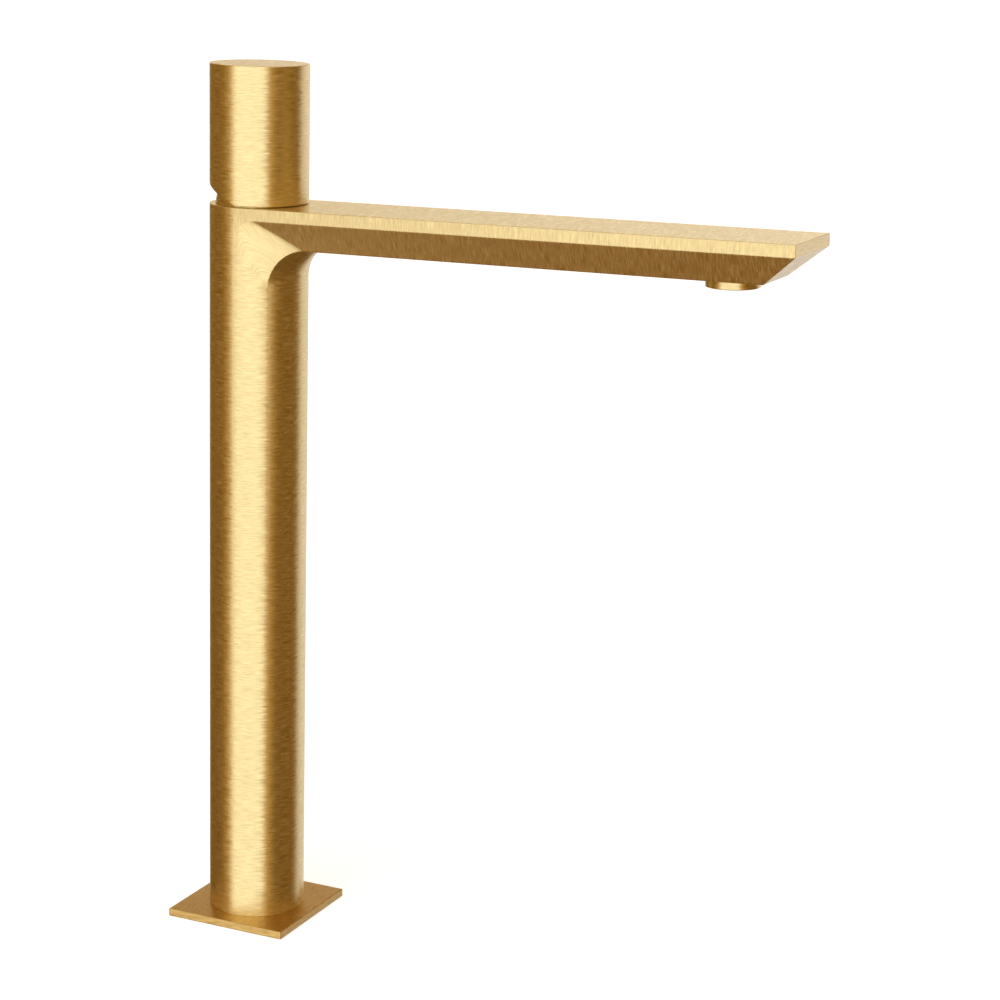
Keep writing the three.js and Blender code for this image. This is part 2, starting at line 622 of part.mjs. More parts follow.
// ---------------------------------------------------------------- supply risers
// The cutters of one riser socket, from a block's face at z into the block: up is 1 or -1.
function riserSocket(side, z, up) {
  const x = (side * RISER_SPACING) / 2;
  const span = (a, b) => (up > 0 ? [z + a, z + b] : [z - b, z - a]);
  const bore = rod(RISER_R + FIT, ...span(-1, SOCKET_DEPTH), { x, y: RISER_Y });
  const mouth = rod(RISER_R + SEAL_T, ...span(-1, SEAL_T + 0.2), { x, y: RISER_Y });
  return [bore, mouth];
}

function riser(side) {
  const size = { x: (side * RISER_SPACING) / 2, y: RISER_Y, inner: RISER_R - RISER_WALL };
  return rod(RISER_R, FOOT_TOP - SOCKET_DEPTH + FIT, BLOCK_Z + SOCKET_DEPTH - FIT, size);
}

function riserSeal(side, z, up) {
  const size = { x: (side * RISER_SPACING) / 2, y: RISER_Y, inner: RISER_R + 0.1 };
  const low = up > 0 ? z + 0.1 : z - 0.1 - SEAL_T;
  return rod(RISER_R + SEAL_T - 0.15, low, low + SEAL_T, size);
}

function footBlock() {
  const barrel = turned([
    [0, FOOT_Z],
    [BLOCK_R, FOOT_Z],
    ...ringGroove(BLOCK_R, FOOT_RING_Z),
    [BLOCK_R, FOOT_TOP],
    [0, FOOT_TOP],
  ], MEDIUM);
  const spigot = rod(SPIGOT_R, 0, FOOT_Z + 1, { facets: MEDIUM });
  const stud = rod(STUD_R + 0.2, -1, STUD_IN + 0.5, { y: STUD_Y });
  const ports = [-1, 1].flatMap((s) => {
    const place = { x: (s * RISER_SPACING) / 2, y: RISER_Y };
    return [rod(PORT_R, -1, PORT_DEPTH, place), rod(RISER_R - RISER_WALL, 0, FOOT_TOP, place)];
  });
  const sockets = [-1, 1].flatMap((s) => riserSocket(s, FOOT_TOP, -1));
  return cut(joined(barrel, spigot), stud, ...ports, ...sockets);
}

// ---------------------------------------------------------------- base and deck clamp
function basePlate() {
  const half = PLATE_SIDE / 2;
  const plate = block([-half, half], [-half, half], [0, PLATE_T]);
  const hole = rod(SPIGOT_R + FIT, -1, PLATE_T + 1, { facets: MEDIUM });
  const groove = rod(GASKET_OUT_R, -1, GASKET_T + 0.1, { inner: GASKET_IN_R, facets: MEDIUM });
  return cut(plate, hole, groove);
}

function baseGasket() {
  return rod(GASKET_OUT_R - 0.2, 0, GASKET_T, { inner: GASKET_IN_R + 0.2, facets: MEDIUM });
}

function fixingStud() {
  const low = STUD_IN - STUD_LENGTH;
  const stud = rod(STUD_R, low + 1, STUD_IN, { y: STUD_Y });
  const tip = solid(new THREE.CylinderGeometry(STUD_R, STUD_R - 1, 1, COARSE).rotateX(Math.PI / 2));
  const slot = block([-0.6, 0.6], [STUD_Y - 5, STUD_Y + 5], [low - 1, low + 1.6]);
  return cut(joined(stud, tip.translate([0, STUD_Y, low + 0.5])), slot);
}

// The horseshoe outline that the rubber pad and the steel washer share.
function horseshoe() {
  const half = CLAMP_SLOT_W / 2;
  const corner = CLAMP_SLOT_CORNER;
  const mouth = Math.asin(half / CLAMP_R);
  const shape = new THREE.Shape();
  shape.absarc(0, 0, CLAMP_R, -Math.PI / 2 + mouth, (3 * Math.PI) / 2 - mouth, false);
  shape.lineTo(-half, CLAMP_SLOT_END - corner);
  shape.absarc(-half + corner, CLAMP_SLOT_END - corner, corner, Math.PI, Math.PI / 2, true);
  shape.lineTo(half - corner, CLAMP_SLOT_END);
  shape.absarc(half - corner, CLAMP_SLOT_END - corner, corner, Math.PI / 2, 0, true);
  shape.closePath();
  const hole = new THREE.Path();
  hole.absarc(0, STUD_Y, STUD_R + RUN, 0, 2 * Math.PI, true);
  shape.holes.push(hole);
  return shape;
}

function clampRubber() {
  return raised(horseshoe(), -DECK - CLAMP_RUBBER_T, -DECK);
}

function clampWasher() {
  const top = -DECK - CLAMP_RUBBER_T - TOUCH;
  return raised(horseshoe(), top - CLAMP_STEEL_T, top);
}

function clampNut() {
  const top = -DECK - CLAMP_RUBBER_T - CLAMP_STEEL_T - 2 * TOUCH;
  const hexagon = rod(NUT_AF / Math.sqrt(3), top - NUT_H, top, { y: STUD_Y, facets: 6 });
  return cut(hexagon, rod(STUD_R + RUN, top - NUT_H - 1, top + 1, { y: STUD_Y }));
}

// ---------------------------------------------------------------- assembly
const mixer = new THREE.Group();

function piece(name, made, material) {
  const mesh = new THREE.Mesh(geometryOf(made), material);
  mesh.name = name;
  mixer.add(mesh);
}

const { gold, brass, steel, copper, ceramic, housing, acetal, strainer, rubber } = materials;

piece("faucet_body", faucetBody(), gold);
piece("base_plate", basePlate(), gold);
piece("base_gasket", baseGasket(), rubber);
piece("foot_block", footBlock(), brass);
piece("foot_ring", sealingRing(BLOCK_R, FOOT_RING_Z), rubber);

piece("outlet_ring", outletRing(), gold);
piece("outlet_strainer", outletStrainer(), strainer);
piece("outlet_screen", outletScreen(), steel);
piece("outlet_seal", outletSeal(), rubber);

piece("handle_shell", handleShell(), gold);
piece("handle_insert", handleInsert(), brass);
piece("handle_set_screw", setScrew(), steel);
piece("handle_screw_plug", screwPlug(), gold);
piece("lever", lever(), steel);

piece("dome_cover", dome(), gold);
piece("dome_ring", sealingRing(DOME_SKIRT_R, DOME_RING_Z), rubber);

piece("cartridge_housing", cartridgeHousing(), housing);
piece("cartridge_ring", sealingRing(CARTRIDGE_R, CARTRIDGE_RING_Z), rubber);
piece("cartridge_base", cartridgeBase(), acetal);
piece("cartridge_nut", cartridgeNut(), brass);
piece("lower_ceramic_disc", lowerDisc(), ceramic);
piece("upper_ceramic_disc", upperDisc(), ceramic);
piece("disc_carrier", discCarrier(), acetal);
piece("lever_holder", leverHolder(), acetal);
piece("lever_pivot_pin", pivotPin(), steel);

piece("valve_block", valveBlock(), brass);
piece("block_ring_lower", sealingRing(BLOCK_R, BLOCK_RINGS[0]), rubber);
piece("block_ring_upper", sealingRing(BLOCK_R, BLOCK_RINGS[1]), rubber);

for (const [word, side] of [["hot", 1], ["cold", -1]]) {
  piece(`${word}_port_seal`, portSeal(side), rubber);
  piece(`${word}_riser`, riser(side), copper);
  piece(`${word}_riser_seal_upper`, riserSeal(side, BLOCK_Z, 1), rubber);
  piece(`${word}_riser_seal_lower`, riserSeal(side, FOOT_TOP, -1), rubber);
}

piece("fixing_stud", fixingStud(), steel);
piece("clamp_rubber", clampRubber(), rubber);
piece("clamp_washer", clampWasher(), steel);
piece("clamp_nut", clampNut(), brass);

export default mixer;
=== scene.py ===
"""Looks for a tall basin mixer in brushed gold: fine meshes for what shows, materials for every piece."""

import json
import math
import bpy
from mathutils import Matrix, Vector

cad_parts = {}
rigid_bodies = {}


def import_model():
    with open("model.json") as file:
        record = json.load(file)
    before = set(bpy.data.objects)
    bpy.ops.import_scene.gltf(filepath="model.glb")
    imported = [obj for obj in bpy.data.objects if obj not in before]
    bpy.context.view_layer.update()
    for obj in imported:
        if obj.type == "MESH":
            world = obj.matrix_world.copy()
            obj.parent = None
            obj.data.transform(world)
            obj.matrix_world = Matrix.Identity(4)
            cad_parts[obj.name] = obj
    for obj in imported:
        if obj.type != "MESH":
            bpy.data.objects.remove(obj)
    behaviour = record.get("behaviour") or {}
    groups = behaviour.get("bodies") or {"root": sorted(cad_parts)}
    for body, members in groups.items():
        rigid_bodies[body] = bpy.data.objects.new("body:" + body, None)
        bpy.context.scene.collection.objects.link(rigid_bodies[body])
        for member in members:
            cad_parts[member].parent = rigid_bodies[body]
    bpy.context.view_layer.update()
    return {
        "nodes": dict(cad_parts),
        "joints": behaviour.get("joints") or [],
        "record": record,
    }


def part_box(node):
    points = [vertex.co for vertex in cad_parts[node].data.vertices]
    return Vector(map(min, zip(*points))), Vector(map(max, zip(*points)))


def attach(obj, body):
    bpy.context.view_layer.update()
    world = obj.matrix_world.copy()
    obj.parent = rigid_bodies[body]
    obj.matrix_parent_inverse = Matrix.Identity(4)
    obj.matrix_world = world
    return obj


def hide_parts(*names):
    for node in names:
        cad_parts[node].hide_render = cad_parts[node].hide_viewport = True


bl_info = {
    "name": "Tall Basin Mixer",
    "version": (1, 0, 0),
    "blender": (4, 5, 0),
    "location": "View3D > Sidebar > Mixer",
    "description": "Builds the finished meshes, materials and studio of a tall brushed-gold basin mixer",
    "category": "Object",
}

import bmesh
import bpy
from bpy.props import FloatProperty, FloatVectorProperty, IntProperty, PointerProperty
from mathutils import Matrix, Vector

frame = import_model()

MM = 0.001


def node_box(node):
    """Lowest and highest corner of a CAD node, in millimetres."""
    low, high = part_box(node)
    return Vector(low) / MM, Vector(high) / MM


BODY_LOW, BODY_HIGH = node_box("faucet_body")
PLATE_HIGH = node_box("base_plate")[1]
HANDLE_LOW, HANDLE_HIGH = node_box("handle_shell")
JOINTS = {joint["name"]: joint for joint in frame["joints"]}
PIVOT_Z = JOINTS["flow_tilt"]["pos_m"][2] / MM
SPOUT_DOWN = Vector(JOINTS["aerator_drop"]["axis"]).normalized()
SPOUT_RISE = math.asin(-SPOUT_DOWN.y)


# ---------------------------------------------------------------- settings
def colour_setting(name, description, default):
    return FloatVectorProperty(name=name, description=description, subtype="COLOR", default=default)


def length_setting(name, description, default):
    return FloatProperty(name=name, description=description, default=default)


def angle_setting(name, description, degrees):
    return FloatProperty(name=name, description=description, default=math.radians(degrees), subtype="ANGLE")


class MixerSizes(bpy.types.PropertyGroup):
    """Sizes of the mixer in millimetres, as its frame has them."""

    body_radius: length_setting("Column radius", "Outside of the column", BODY_HIGH.x)
    wall: length_setting("Column wall", "Wall of the column", 2.1)
    spout_tip: length_setting("Spout tip", "Column axis to the tip", 210.0)
    spout_thickness: length_setting("Spout thickness", "Top face to underside", 14.75)
    spout_edge: length_setting("Edge band", "Height of the upright band", 4.25)
    spout_flat: length_setting("Underside", "Width of the flat underside", 24.7)
    tip_bevel: length_setting("Tip bevel", "Run of the bevel under the tip", 12.75)
    blend_middle: length_setting("Fillet, middle", "Under the spout's middle", 12.0)
    blend_crease: length_setting("Fillet, crease", "At the underside's edge", 15.0)
    blend_edge: length_setting("Fillet, outside", "At the edge band", 8.0)
    crease_width: length_setting("Crease width", "Between the creases' ends", 28.0)
    outlet_inset: length_setting("Outlet inset", "Tip to the outlet's centre", 27.5)
    handle_wall: length_setting("Handle wall", "Wall of the handle", 1.8)
    handle_cap: length_setting("Handle cap", "Thickness of its closed top", 5.0)
    handle_bevel: angle_setting("Handle cut", "Slope of the cut at the back", 23.5)
    edge: length_setting("Broken edge", "Radius of the broken edges", 0.28)
    facets: IntProperty(name="Facets", description="Facets round a large cylinder", default=120, min=24)


class MixerFinish(bpy.types.PropertyGroup):
    """Colours of the finishes, as linear values."""

    gold: colour_setting("Gold", "Brushed gold", (1.0, 0.79, 0.36))
    # Painted shade: the body's gold made darker and more saturated, given to the plate
    plate: colour_setting("Plate", "Gold of the plate", (0.78, 0.52, 0.17))
    brass: colour_setting("Brass", "Machined brass", (0.78, 0.58, 0.27))
    steel: colour_setting("Steel", "Stainless steel", (0.62, 0.63, 0.64))
    copper: colour_setting("Copper", "Drawn copper", (0.80, 0.40, 0.25))
    ceramic: colour_setting("Ceramic", "Disc ceramic", (0.86, 0.85, 0.80))
    housing: colour_setting("Housing", "Housing plastic", (0.70, 0.68, 0.63))
    acetal: colour_setting("Acetal", "Dark plastic", (0.035, 0.05, 0.07))
    strainer: colour_setting("Strainer", "Strainer plastic", (0.30, 0.39, 0.45))
    rubber: colour_setting("Rubber", "Seal rubber", (0.018, 0.018, 0.02))


class MixerStudio(bpy.types.PropertyGroup):
    """Where the camera stands and how bright the studio is."""

    distance: FloatProperty(name="Distance", description="Column to camera", default=0.9373, unit="LENGTH")
    height: FloatProperty(name="Height", description="Camera over the deck", default=0.3887, unit="LENGTH")
    azimuth: angle_setting("Azimuth", "Round the column", -59.88)
    yaw: angle_setting("Yaw", "Turned away from the column", -5.51)
    pitch: angle_setting("Pitch", "Looking down", 13.54)
    roll: angle_setting("Roll", "Tilt of the camera", 1.51)
    lens: FloatProperty(name="Lens", description="Focal length on a 36 mm sensor", default=92.79)
    level: FloatProperty(name="Light", description="Brightness of the studio", default=1.0, min=0.0)


def sizes():
    return bpy.context.scene.mixer_sizes


def finish():
    return bpy.context.scene.mixer_finish


def studio():
    return bpy.context.scene.mixer_studio


# ---------------------------------------------------------------- material nodes
class Nodes:
    """A short hand for building a node tree."""

    def __init__(self, tree):
        self.tree = tree

    def add(self, kind, values=None, **settings):
        node = self.tree.nodes.new(kind)
        for key, value in settings.items():
            setattr(node, key, value)
        for key, value in (values or {}).items():
            if hasattr(value, "is_output"):
                self.tree.links.new(value, node.inputs[key])
            else:
                node.inputs[key].default_value = value
        return node

    def math(self, operation, a, b=0.0):
        return self.add("ShaderNodeMath", {0: a, 1: b}, operation=operation).outputs[0]

    def scale_to(self, value, low, high, to_low=0.0, to_high=1.0, smooth=False):
        kind = "SMOOTHSTEP" if smooth else "LINEAR"
        values = {"Value": value, "From Min": low, "From Max": high, "To Min": to_low, "To Max": to_high}
        return self.add("ShaderNodeMapRange", values, interpolation_type=kind).outputs["Result"]

    def mix(self, factor, a, b, blend="MIX"):
        node = self.add("ShaderNodeMix", {0: factor, 6: a, 7: b}, data_type="RGBA", blend_type=blend)
        return node.outputs[2]

    def noise(self, vector, scale=1.0, detail=2.0, roughness=0.5):
        values = {"Vector": vector, "Scale": scale, "Detail": detail, "Roughness": roughness}
        return self.add("ShaderNodeTexNoise", values).outputs["Fac"]

    def stretched(self, vector, scale, shift=0.0):
        values = {"Vector": vector, "Scale": scale, "Location": (0.0, 0.0, shift)}
        return self.add("ShaderNodeMapping", values).outputs["Vector"]


def opaque(colour):
    return (*colour, 1.0)


def tinted(colour, factor):
    return (*[min(1.0, c * factor) for c in colour], 1.0)


MADE = {}  # finished materials, by name


def material(name):
    if name not in MADE:
        MADE[name] = bpy.data.materials.new(name)
        MADE[name].use_nodes = True
        FINISHES[name](MADE[name])
    return MADE[name]


def surface(made, **constants):
    """The node helper and the surface shader of a new material, with its constant values set."""
    nodes = Nodes(made.node_tree)
    shader = made.node_tree.nodes["Principled BSDF"]
    for key, value in constants.items():
        shader.inputs[key.replace("_", " ")].default_value = value
    return nodes, shader


def coloured(nodes, shader, tone, roughness):
    nodes.tree.links.new(tone, shader.inputs["Base Color"])
    nodes.tree.links.new(roughness, shader.inputs["Roughness"])


def bump(nodes, shader, height, distance, strength, normal=None):
    values = {"Height": height, "Distance": distance, "Strength": strength}
    if normal is not None:
        values["Normal"] = normal
    made = nodes.add("ShaderNodeBump", values)
    nodes.tree.links.new(made.outputs["Normal"], shader.inputs["Normal"])


GRAIN = "grain"  # the UV map in millimetres: U runs along the brush strokes, V across them
STROKE_LEAN = 0.13  # how far strokes tip the surface along themselves
STROKE_DEPTH = 0.00005  # metres, of the deepest strokes


def brushed_gold(made, colour=None):
    """Brass with a gold coating, brushed by hand in short strokes that each lie at their own slope."""
    colour = colour or finish().gold
    nodes, shader = surface(made, Anisotropic=0.75, Anisotropic_Rotation=0.25)
    link = made.node_tree.links.new
    grain = nodes.add("ShaderNodeUVMap", uv_map=GRAIN).outputs["UV"]
    strokes = nodes.noise(nodes.stretched(grain, (0.2, 2.1, 1.0)), detail=3.0, roughness=0.6)
    fine = nodes.noise(nodes.stretched(grain, (0.4, 6.0, 1.0)))
    slant = nodes.noise(nodes.stretched(grain, (0.24, 1.7, 1.0), shift=7.3))
    cloud = nodes.noise(nodes.stretched(grain, (0.04, 0.06, 1.0)), detail=3.0)
    brushed = nodes.math("ADD", nodes.math("MULTIPLY", strokes, 0.7), nodes.math("MULTIPLY", fine, 0.3))
    tone = nodes.mix(nodes.scale_to(brushed, 0.36, 0.64), tinted(colour, 0.72), opaque(colour))
    tone = nodes.mix(nodes.scale_to(cloud, 0.4, 0.7, 0.0, 0.2), tone, tinted(colour, 0.84))
    coloured(nodes, shader, tone, nodes.scale_to(slant, 0.3, 0.7, 0.27, 0.42))
    link(nodes.scale_to(brushed, 0.42, 0.64, 1.0, 0.9), shader.inputs["Metallic"])
    tangent = nodes.add("ShaderNodeTangent", direction_type="UV_MAP", uv_map=GRAIN).outputs["Tangent"]
    link(tangent, shader.inputs["Tangent"])
    lean = nodes.math("MULTIPLY", nodes.math("SUBTRACT", slant, 0.5), STROKE_LEAN)
    along = nodes.add("ShaderNodeVectorMath", {0: tangent, "Scale": lean}, operation="SCALE").outputs[0]
    flat = nodes.add("ShaderNodeNewGeometry").outputs["Normal"]
    leaning = nodes.add("ShaderNodeVectorMath", {0: flat, 1: along}, operation="ADD").outputs[0]
    normal = nodes.add("ShaderNodeVectorMath", {0: leaning}, operation="NORMALIZE").outputs[0]
    bump(nodes, shader, brushed, STROKE_DEPTH, 0.6, normal)


# The body's brushed gold in the darker plate colour: painted shade on the plate.
def shaded_plate_gold(made):
    brushed_gold(made, finish().plate)


def object_space(nodes):
    return nodes.add("ShaderNodeTexCoord").outputs["Object"]


def machined(made, colour, stretch, low, high):
    """A turned or milled metal, with fine tool marks round or along the piece."""
    nodes, shader = surface(made, Metallic=1.0)
    place = object_space(nodes)
    marks = nodes.noise(nodes.stretched(place, stretch), detail=3.0)
    stains = nodes.noise(place, scale=90.0, detail=4.0, roughness=0.6)
    tone = nodes.mix(nodes.scale_to(marks, 0.35, 0.65), tinted(colour, 0.82), opaque(colour))
    tone = nodes.mix(nodes.scale_to(stains, 0.45, 0.7, 0.0, 0.35), tone, tinted(colour, 0.6))
    coloured(nodes, shader, tone, nodes.scale_to(stains, 0.3, 0.7, low, high))
    bump(nodes, shader, marks, 0.00003, 0.6)


def raw_brass(made):
    machined(made, finish().brass, (60.0, 60.0, 5200.0), 0.24, 0.42)


def stainless(made):
    machined(made, finish().steel, (400.0, 400.0, 3600.0), 0.2, 0.36)


def washer_steel(made):
    machined(made, finish().steel, (3200.0, 260.0, 260.0), 0.28, 0.45)


def drawn_copper(made):
    machined(made, finish().copper, (2600.0, 2600.0, 40.0), 0.22, 0.44)


def moulded(made, colour, low, high, grain):
    """A moulded plastic with a fine grain and faint flow marks."""
    nodes, shader = surface(made, Metallic=0.0, Specular_IOR_Level=0.45)
    place = object_space(nodes)
    skin = nodes.noise(place, scale=grain, detail=3.0, roughness=0.6)
    flow = nodes.noise(nodes.stretched(place, (60.0, 60.0, 18.0)), detail=2.0)
    tone = nodes.mix(nodes.scale_to(flow, 0.35, 0.7), opaque(colour), tinted(colour, 0.84))
    coloured(nodes, shader, tone, nodes.scale_to(skin, 0.3, 0.7, low, high))
    bump(nodes, shader, skin, 0.00001, 0.6)


def housing_plastic(made):
    moulded(made, finish().housing, 0.42, 0.58, 2200.0)


def acetal(made):
    moulded(made, finish().acetal, 0.34, 0.5, 2600.0)


def strainer_plastic(made):
    moulded(made, finish().strainer, 0.3, 0.46, 2600.0)


def lapped_ceramic(made):
    nodes, shader = surface(made, Metallic=0.0, Coat_Weight=0.35, Coat_Roughness=0.06)
    place = object_space(nodes)
    speckle = nodes.noise(place, scale=1800.0, detail=2.0)
    colour = finish().ceramic
    tone = nodes.mix(nodes.scale_to(speckle, 0.45, 0.75), opaque(colour), tinted(colour, 0.9))
    coloured(nodes, shader, tone, nodes.scale_to(speckle, 0.3, 0.7, 0.16, 0.26))
    bump(nodes, shader, speckle, 0.000004, 0.4)


def seal_rubber(made):
    nodes, shader = surface(made, Metallic=0.0, Specular_IOR_Level=0.35)
    place = object_space(nodes)
    skin = nodes.noise(place, scale=1500.0, detail=4.0, roughness=0.65)
    dust = nodes.noise(place, scale=140.0, detail=3.0)
    colour = finish().rubber
    dusty = opaque([c * 2.4 for c in colour])
    tone = nodes.mix(nodes.scale_to(dust, 0.5, 0.8, 0.0, 0.5), opaque(colour), dusty)
    coloured(nodes, shader, tone, nodes.scale_to(skin, 0.3, 0.7, 0.55, 0.75))
    bump(nodes, shader, skin, 0.00004, 0.6)


FINISHES = {
    "brushed_gold": brushed_gold,
    "shaded_plate_gold": shaded_plate_gold,
    "raw_brass": raw_brass,
    "steel": stainless,
    "washer_steel": washer_steel,
    "copper": drawn_copper,
    "housing_plastic": housing_plastic,
    "acetal": acetal,
    "strainer_plastic": strainer_plastic,
    "ceramic": lapped_ceramic,
    "rubber": seal_rubber,
}


# ---------------------------------------------------------------- mesh making
class Faces:
    """Faces in millimetres, each with its corners and its grain coordinates, gathered for one mesh."""

    def __init__(self):
        self.rows = []

    def add(self, corners, grain):
        self.rows.append((corners, grain))

    def grid(self, lines, grains):
        """Quads between neighbouring lines of points."""
        for line, after, g, h in zip(lines, lines[1:], grains, grains[1:]):
            for i in range(len(line) - 1):
                self.add([line[i], after[i], after[i + 1], line[i + 1]], [g[i], h[i], h[i + 1], g[i + 1]])

    def mesh(self, place=None):
        """A bmesh in metres, its corners joined and its faces pointing outwards."""
        bm = bmesh.new()
        layer = bm.loops.layers.uv.new(GRAIN)
        for corners, grain in self.rows:
            points = [Vector(c) for c in corners]
            if place:
                points = [place @ p for p in points]
            face = bm.faces.new([bm.verts.new(p * MM) for p in points])
            for loop, uv in zip(face.loops, grain):
                loop[layer].uv = uv
        bmesh.ops.remove_doubles(bm, verts=bm.verts, dist=1e-7)
        bmesh.ops.recalc_face_normals(bm, faces=bm.faces)
        return bm


def finished(bm, name):
    """A mesh of a bmesh, which is freed."""
    mesh = bpy.data.meshes.new(name)
    bm.to_mesh(mesh)
    bm.free()
    return mesh


def in_scene(name, mesh):
    obj = bpy.data.objects.new(name, mesh)
    bpy.context.scene.collection.objects.link(obj)
    return obj


def break_edges(bm, radius, keep=None, angle=25.0, segments=3):
    """Rounds every edge sharper than an angle, apart from those that keep says to leave."""
    limit = math.radians(angle)
    chosen = []
    for edge in bm.edges:
        if len(edge.link_faces) != 2 or edge.calc_face_angle(0.0) < limit:
            continue
        middle = (edge.verts[0].co + edge.verts[1].co) / 2 / MM
        if keep is None or not keep(middle):
            chosen.append(edge)
    bmesh.ops.bevel(
        bm,
        geom=chosen,
        offset=radius * MM,
        offset_type="OFFSET",
        segments=segments,
        profile=0.5,
        affect="EDGES",
        clamp_overlap=True,
    )


def rider(name, mesh, body, nodes, finish_name):
    """A finished piece at the origin, with its material, its body and the CAD nodes it stands for."""
    if not mesh.polygons:
        raise RuntimeError(name + " has no faces")
    mesh.name = name
    piece = in_scene(name, mesh)
    mesh.materials.clear()
    mesh.materials.append(material(finish_name))
    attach(piece, body)
    if nodes:
        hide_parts(*nodes)
    return piece


def smooth_mesh(bm, name, sharp=40.0):
    """A mesh with smooth shading, whose large faces keep their own normals."""
    for face in bm.faces:
        face.smooth = True
    for edge in bm.edges:
        if len(edge.link_faces) == 2 and edge.calc_face_angle(0.0) > math.radians(sharp):
            edge.smooth = False
    holder = in_scene(name + "_making", finished(bm, name))
    weighted = holder.modifiers.new("Normals", "WEIGHTED_NORMAL")
    weighted.keep_sharp = True
    weighted.weight = 90
    return settled(holder)


def settled(holder):
    """The evaluated mesh of an object with modifiers. The object itself is removed."""
    bpy.context.view_layer.update()
    depsgraph = bpy.context.evaluated_depsgraph_get()
    mesh = bpy.data.meshes.new_from_object(holder.evaluated_get(depsgraph), depsgraph=depsgraph)
    bpy.data.objects.remove(holder)
    return mesh


def turned(profile, facets, low=0.0, high=2 * math.pi):
    """Faces of a closed profile of (radius, z) turned round the Z axis."""
    faces = Faces()
    lengths = [0.0]
    around = profile + profile[:1]
    for (r0, z0), (r1, z1) in zip(around, around[1:]):
        lengths.append(lengths[-1] + math.hypot(r1 - r0, z1 - z0))
    for k in range(facets):
        a, b = (low + (high - low) * (k + i) / facets for i in (0, 1))
        for (r0, z0), (r1, z1), v0, v1 in zip(around, around[1:], lengths, lengths[1:]):
            corners, grain = [], []
            for r, z, turn, v in ((r0, z0, a, v0), (r0, z0, b, v0), (r1, z1, b, v1), (r1, z1, a, v1)):
                if r < 1e-6 and corners and (Vector(corners[-1]) - Vector((0, 0, z))).length < 1e-6:
                    continue
                corners.append((r * math.cos(turn), r * math.sin(turn), z))
                grain.append((turn * max(r0, r1), v))
            if len(corners) > 2 and max(r0, r1) > 1e-6:
                faces.add(corners, grain)
    return faces


def arc(centre_r, centre_z, radius, start, end, steps):
    """Profile points along an arc, with its angles in degrees."""
    points = []
    for i in range(steps + 1):
        turn = math.radians(start + (end - start) * i / steps)
        points.append((centre_r + radius * math.cos(turn), centre_z + radius * math.sin(turn)))
    return points


def round_piece(name, profile, body, slot, nodes, finish_name, edge, facets, place=None):
    """A turned piece with broken edges."""
    bm = turned(profile, facets).mesh(place)
    break_edges(bm, edge, angle=30.0, segments=2)
    return rider(name, smooth_mesh(bm, name), body, nodes, finish_name)


def cut_away(mesh, cutters):
    """The mesh with other closed meshes cut from it."""
    holder = in_scene("cutting", mesh)
    others = [in_scene("cutter", cutter) for cutter in cutters]
    for other in others:
        difference = holder.modifiers.new("Cut", "BOOLEAN")
        difference.operation = "DIFFERENCE"
        difference.solver = "EXACT"
        difference.object = other
    mesh = settled(holder)
    for other in others:
        bpy.data.objects.remove(other)
    return mesh


ROUND = 48  # facets of a small cylinder


def rod_mesh(radius, start, end):
    """A plain rod between two points in millimetres, as a mesh in metres, for cutting."""
    start, end = Vector(start), Vector(end)
    bm = bmesh.new()
    turn = (end - start).to_track_quat("Z", "Y").to_matrix().to_4x4()
    bmesh.ops.create_cone(
        bm,
        cap_ends=True,
        segments=ROUND,
        radius1=radius * MM,
        radius2=radius * MM,
        depth=(end - start).length * MM,
        matrix=Matrix.Translation((start + end) / 2 * MM) @ turn,
    )
    return finished(bm, "rod")


# ---------------------------------------------------------------- spout's own frame
def spout_point(x, reach, height):
    """A point of the spout's frame: along the spout from the column's axis, and over its top face."""
    c, s = math.cos(SPOUT_RISE), math.sin(SPOUT_RISE)
    return (x, -reach * c + height * s, PIVOT_Z + reach * s + height * c)


def spout_place():
    """The spout's frame as a matrix, whose -Y runs along the spout."""
    return Matrix.Translation((0, 0, PIVOT_Z)) @ Matrix.Rotation(-SPOUT_RISE, 4, "X")


def outlet_place():
    """The outlet's frame: on its axis, at the height of the spout's top face."""
    s = sizes()
    return spout_place() @ Matrix.Translation((0, s.outlet_inset - s.spout_tip, 0))


# ---------------------------------------------------------------- column and spout
MIDDLE_LINES = 16  # lines of the fillet, from its middle to the crease
SIDE_LINES = 12  # from the crease to the edge band
ARC_STEPS = 24
OUTLET_BORE, OUTLET_DEPTH = 8.85, 9.1  # radius and depth of the bore that the outlet screws in
GRAIN_TURN = 258.0  # V of the spout's grain, less the distance from the column's axis


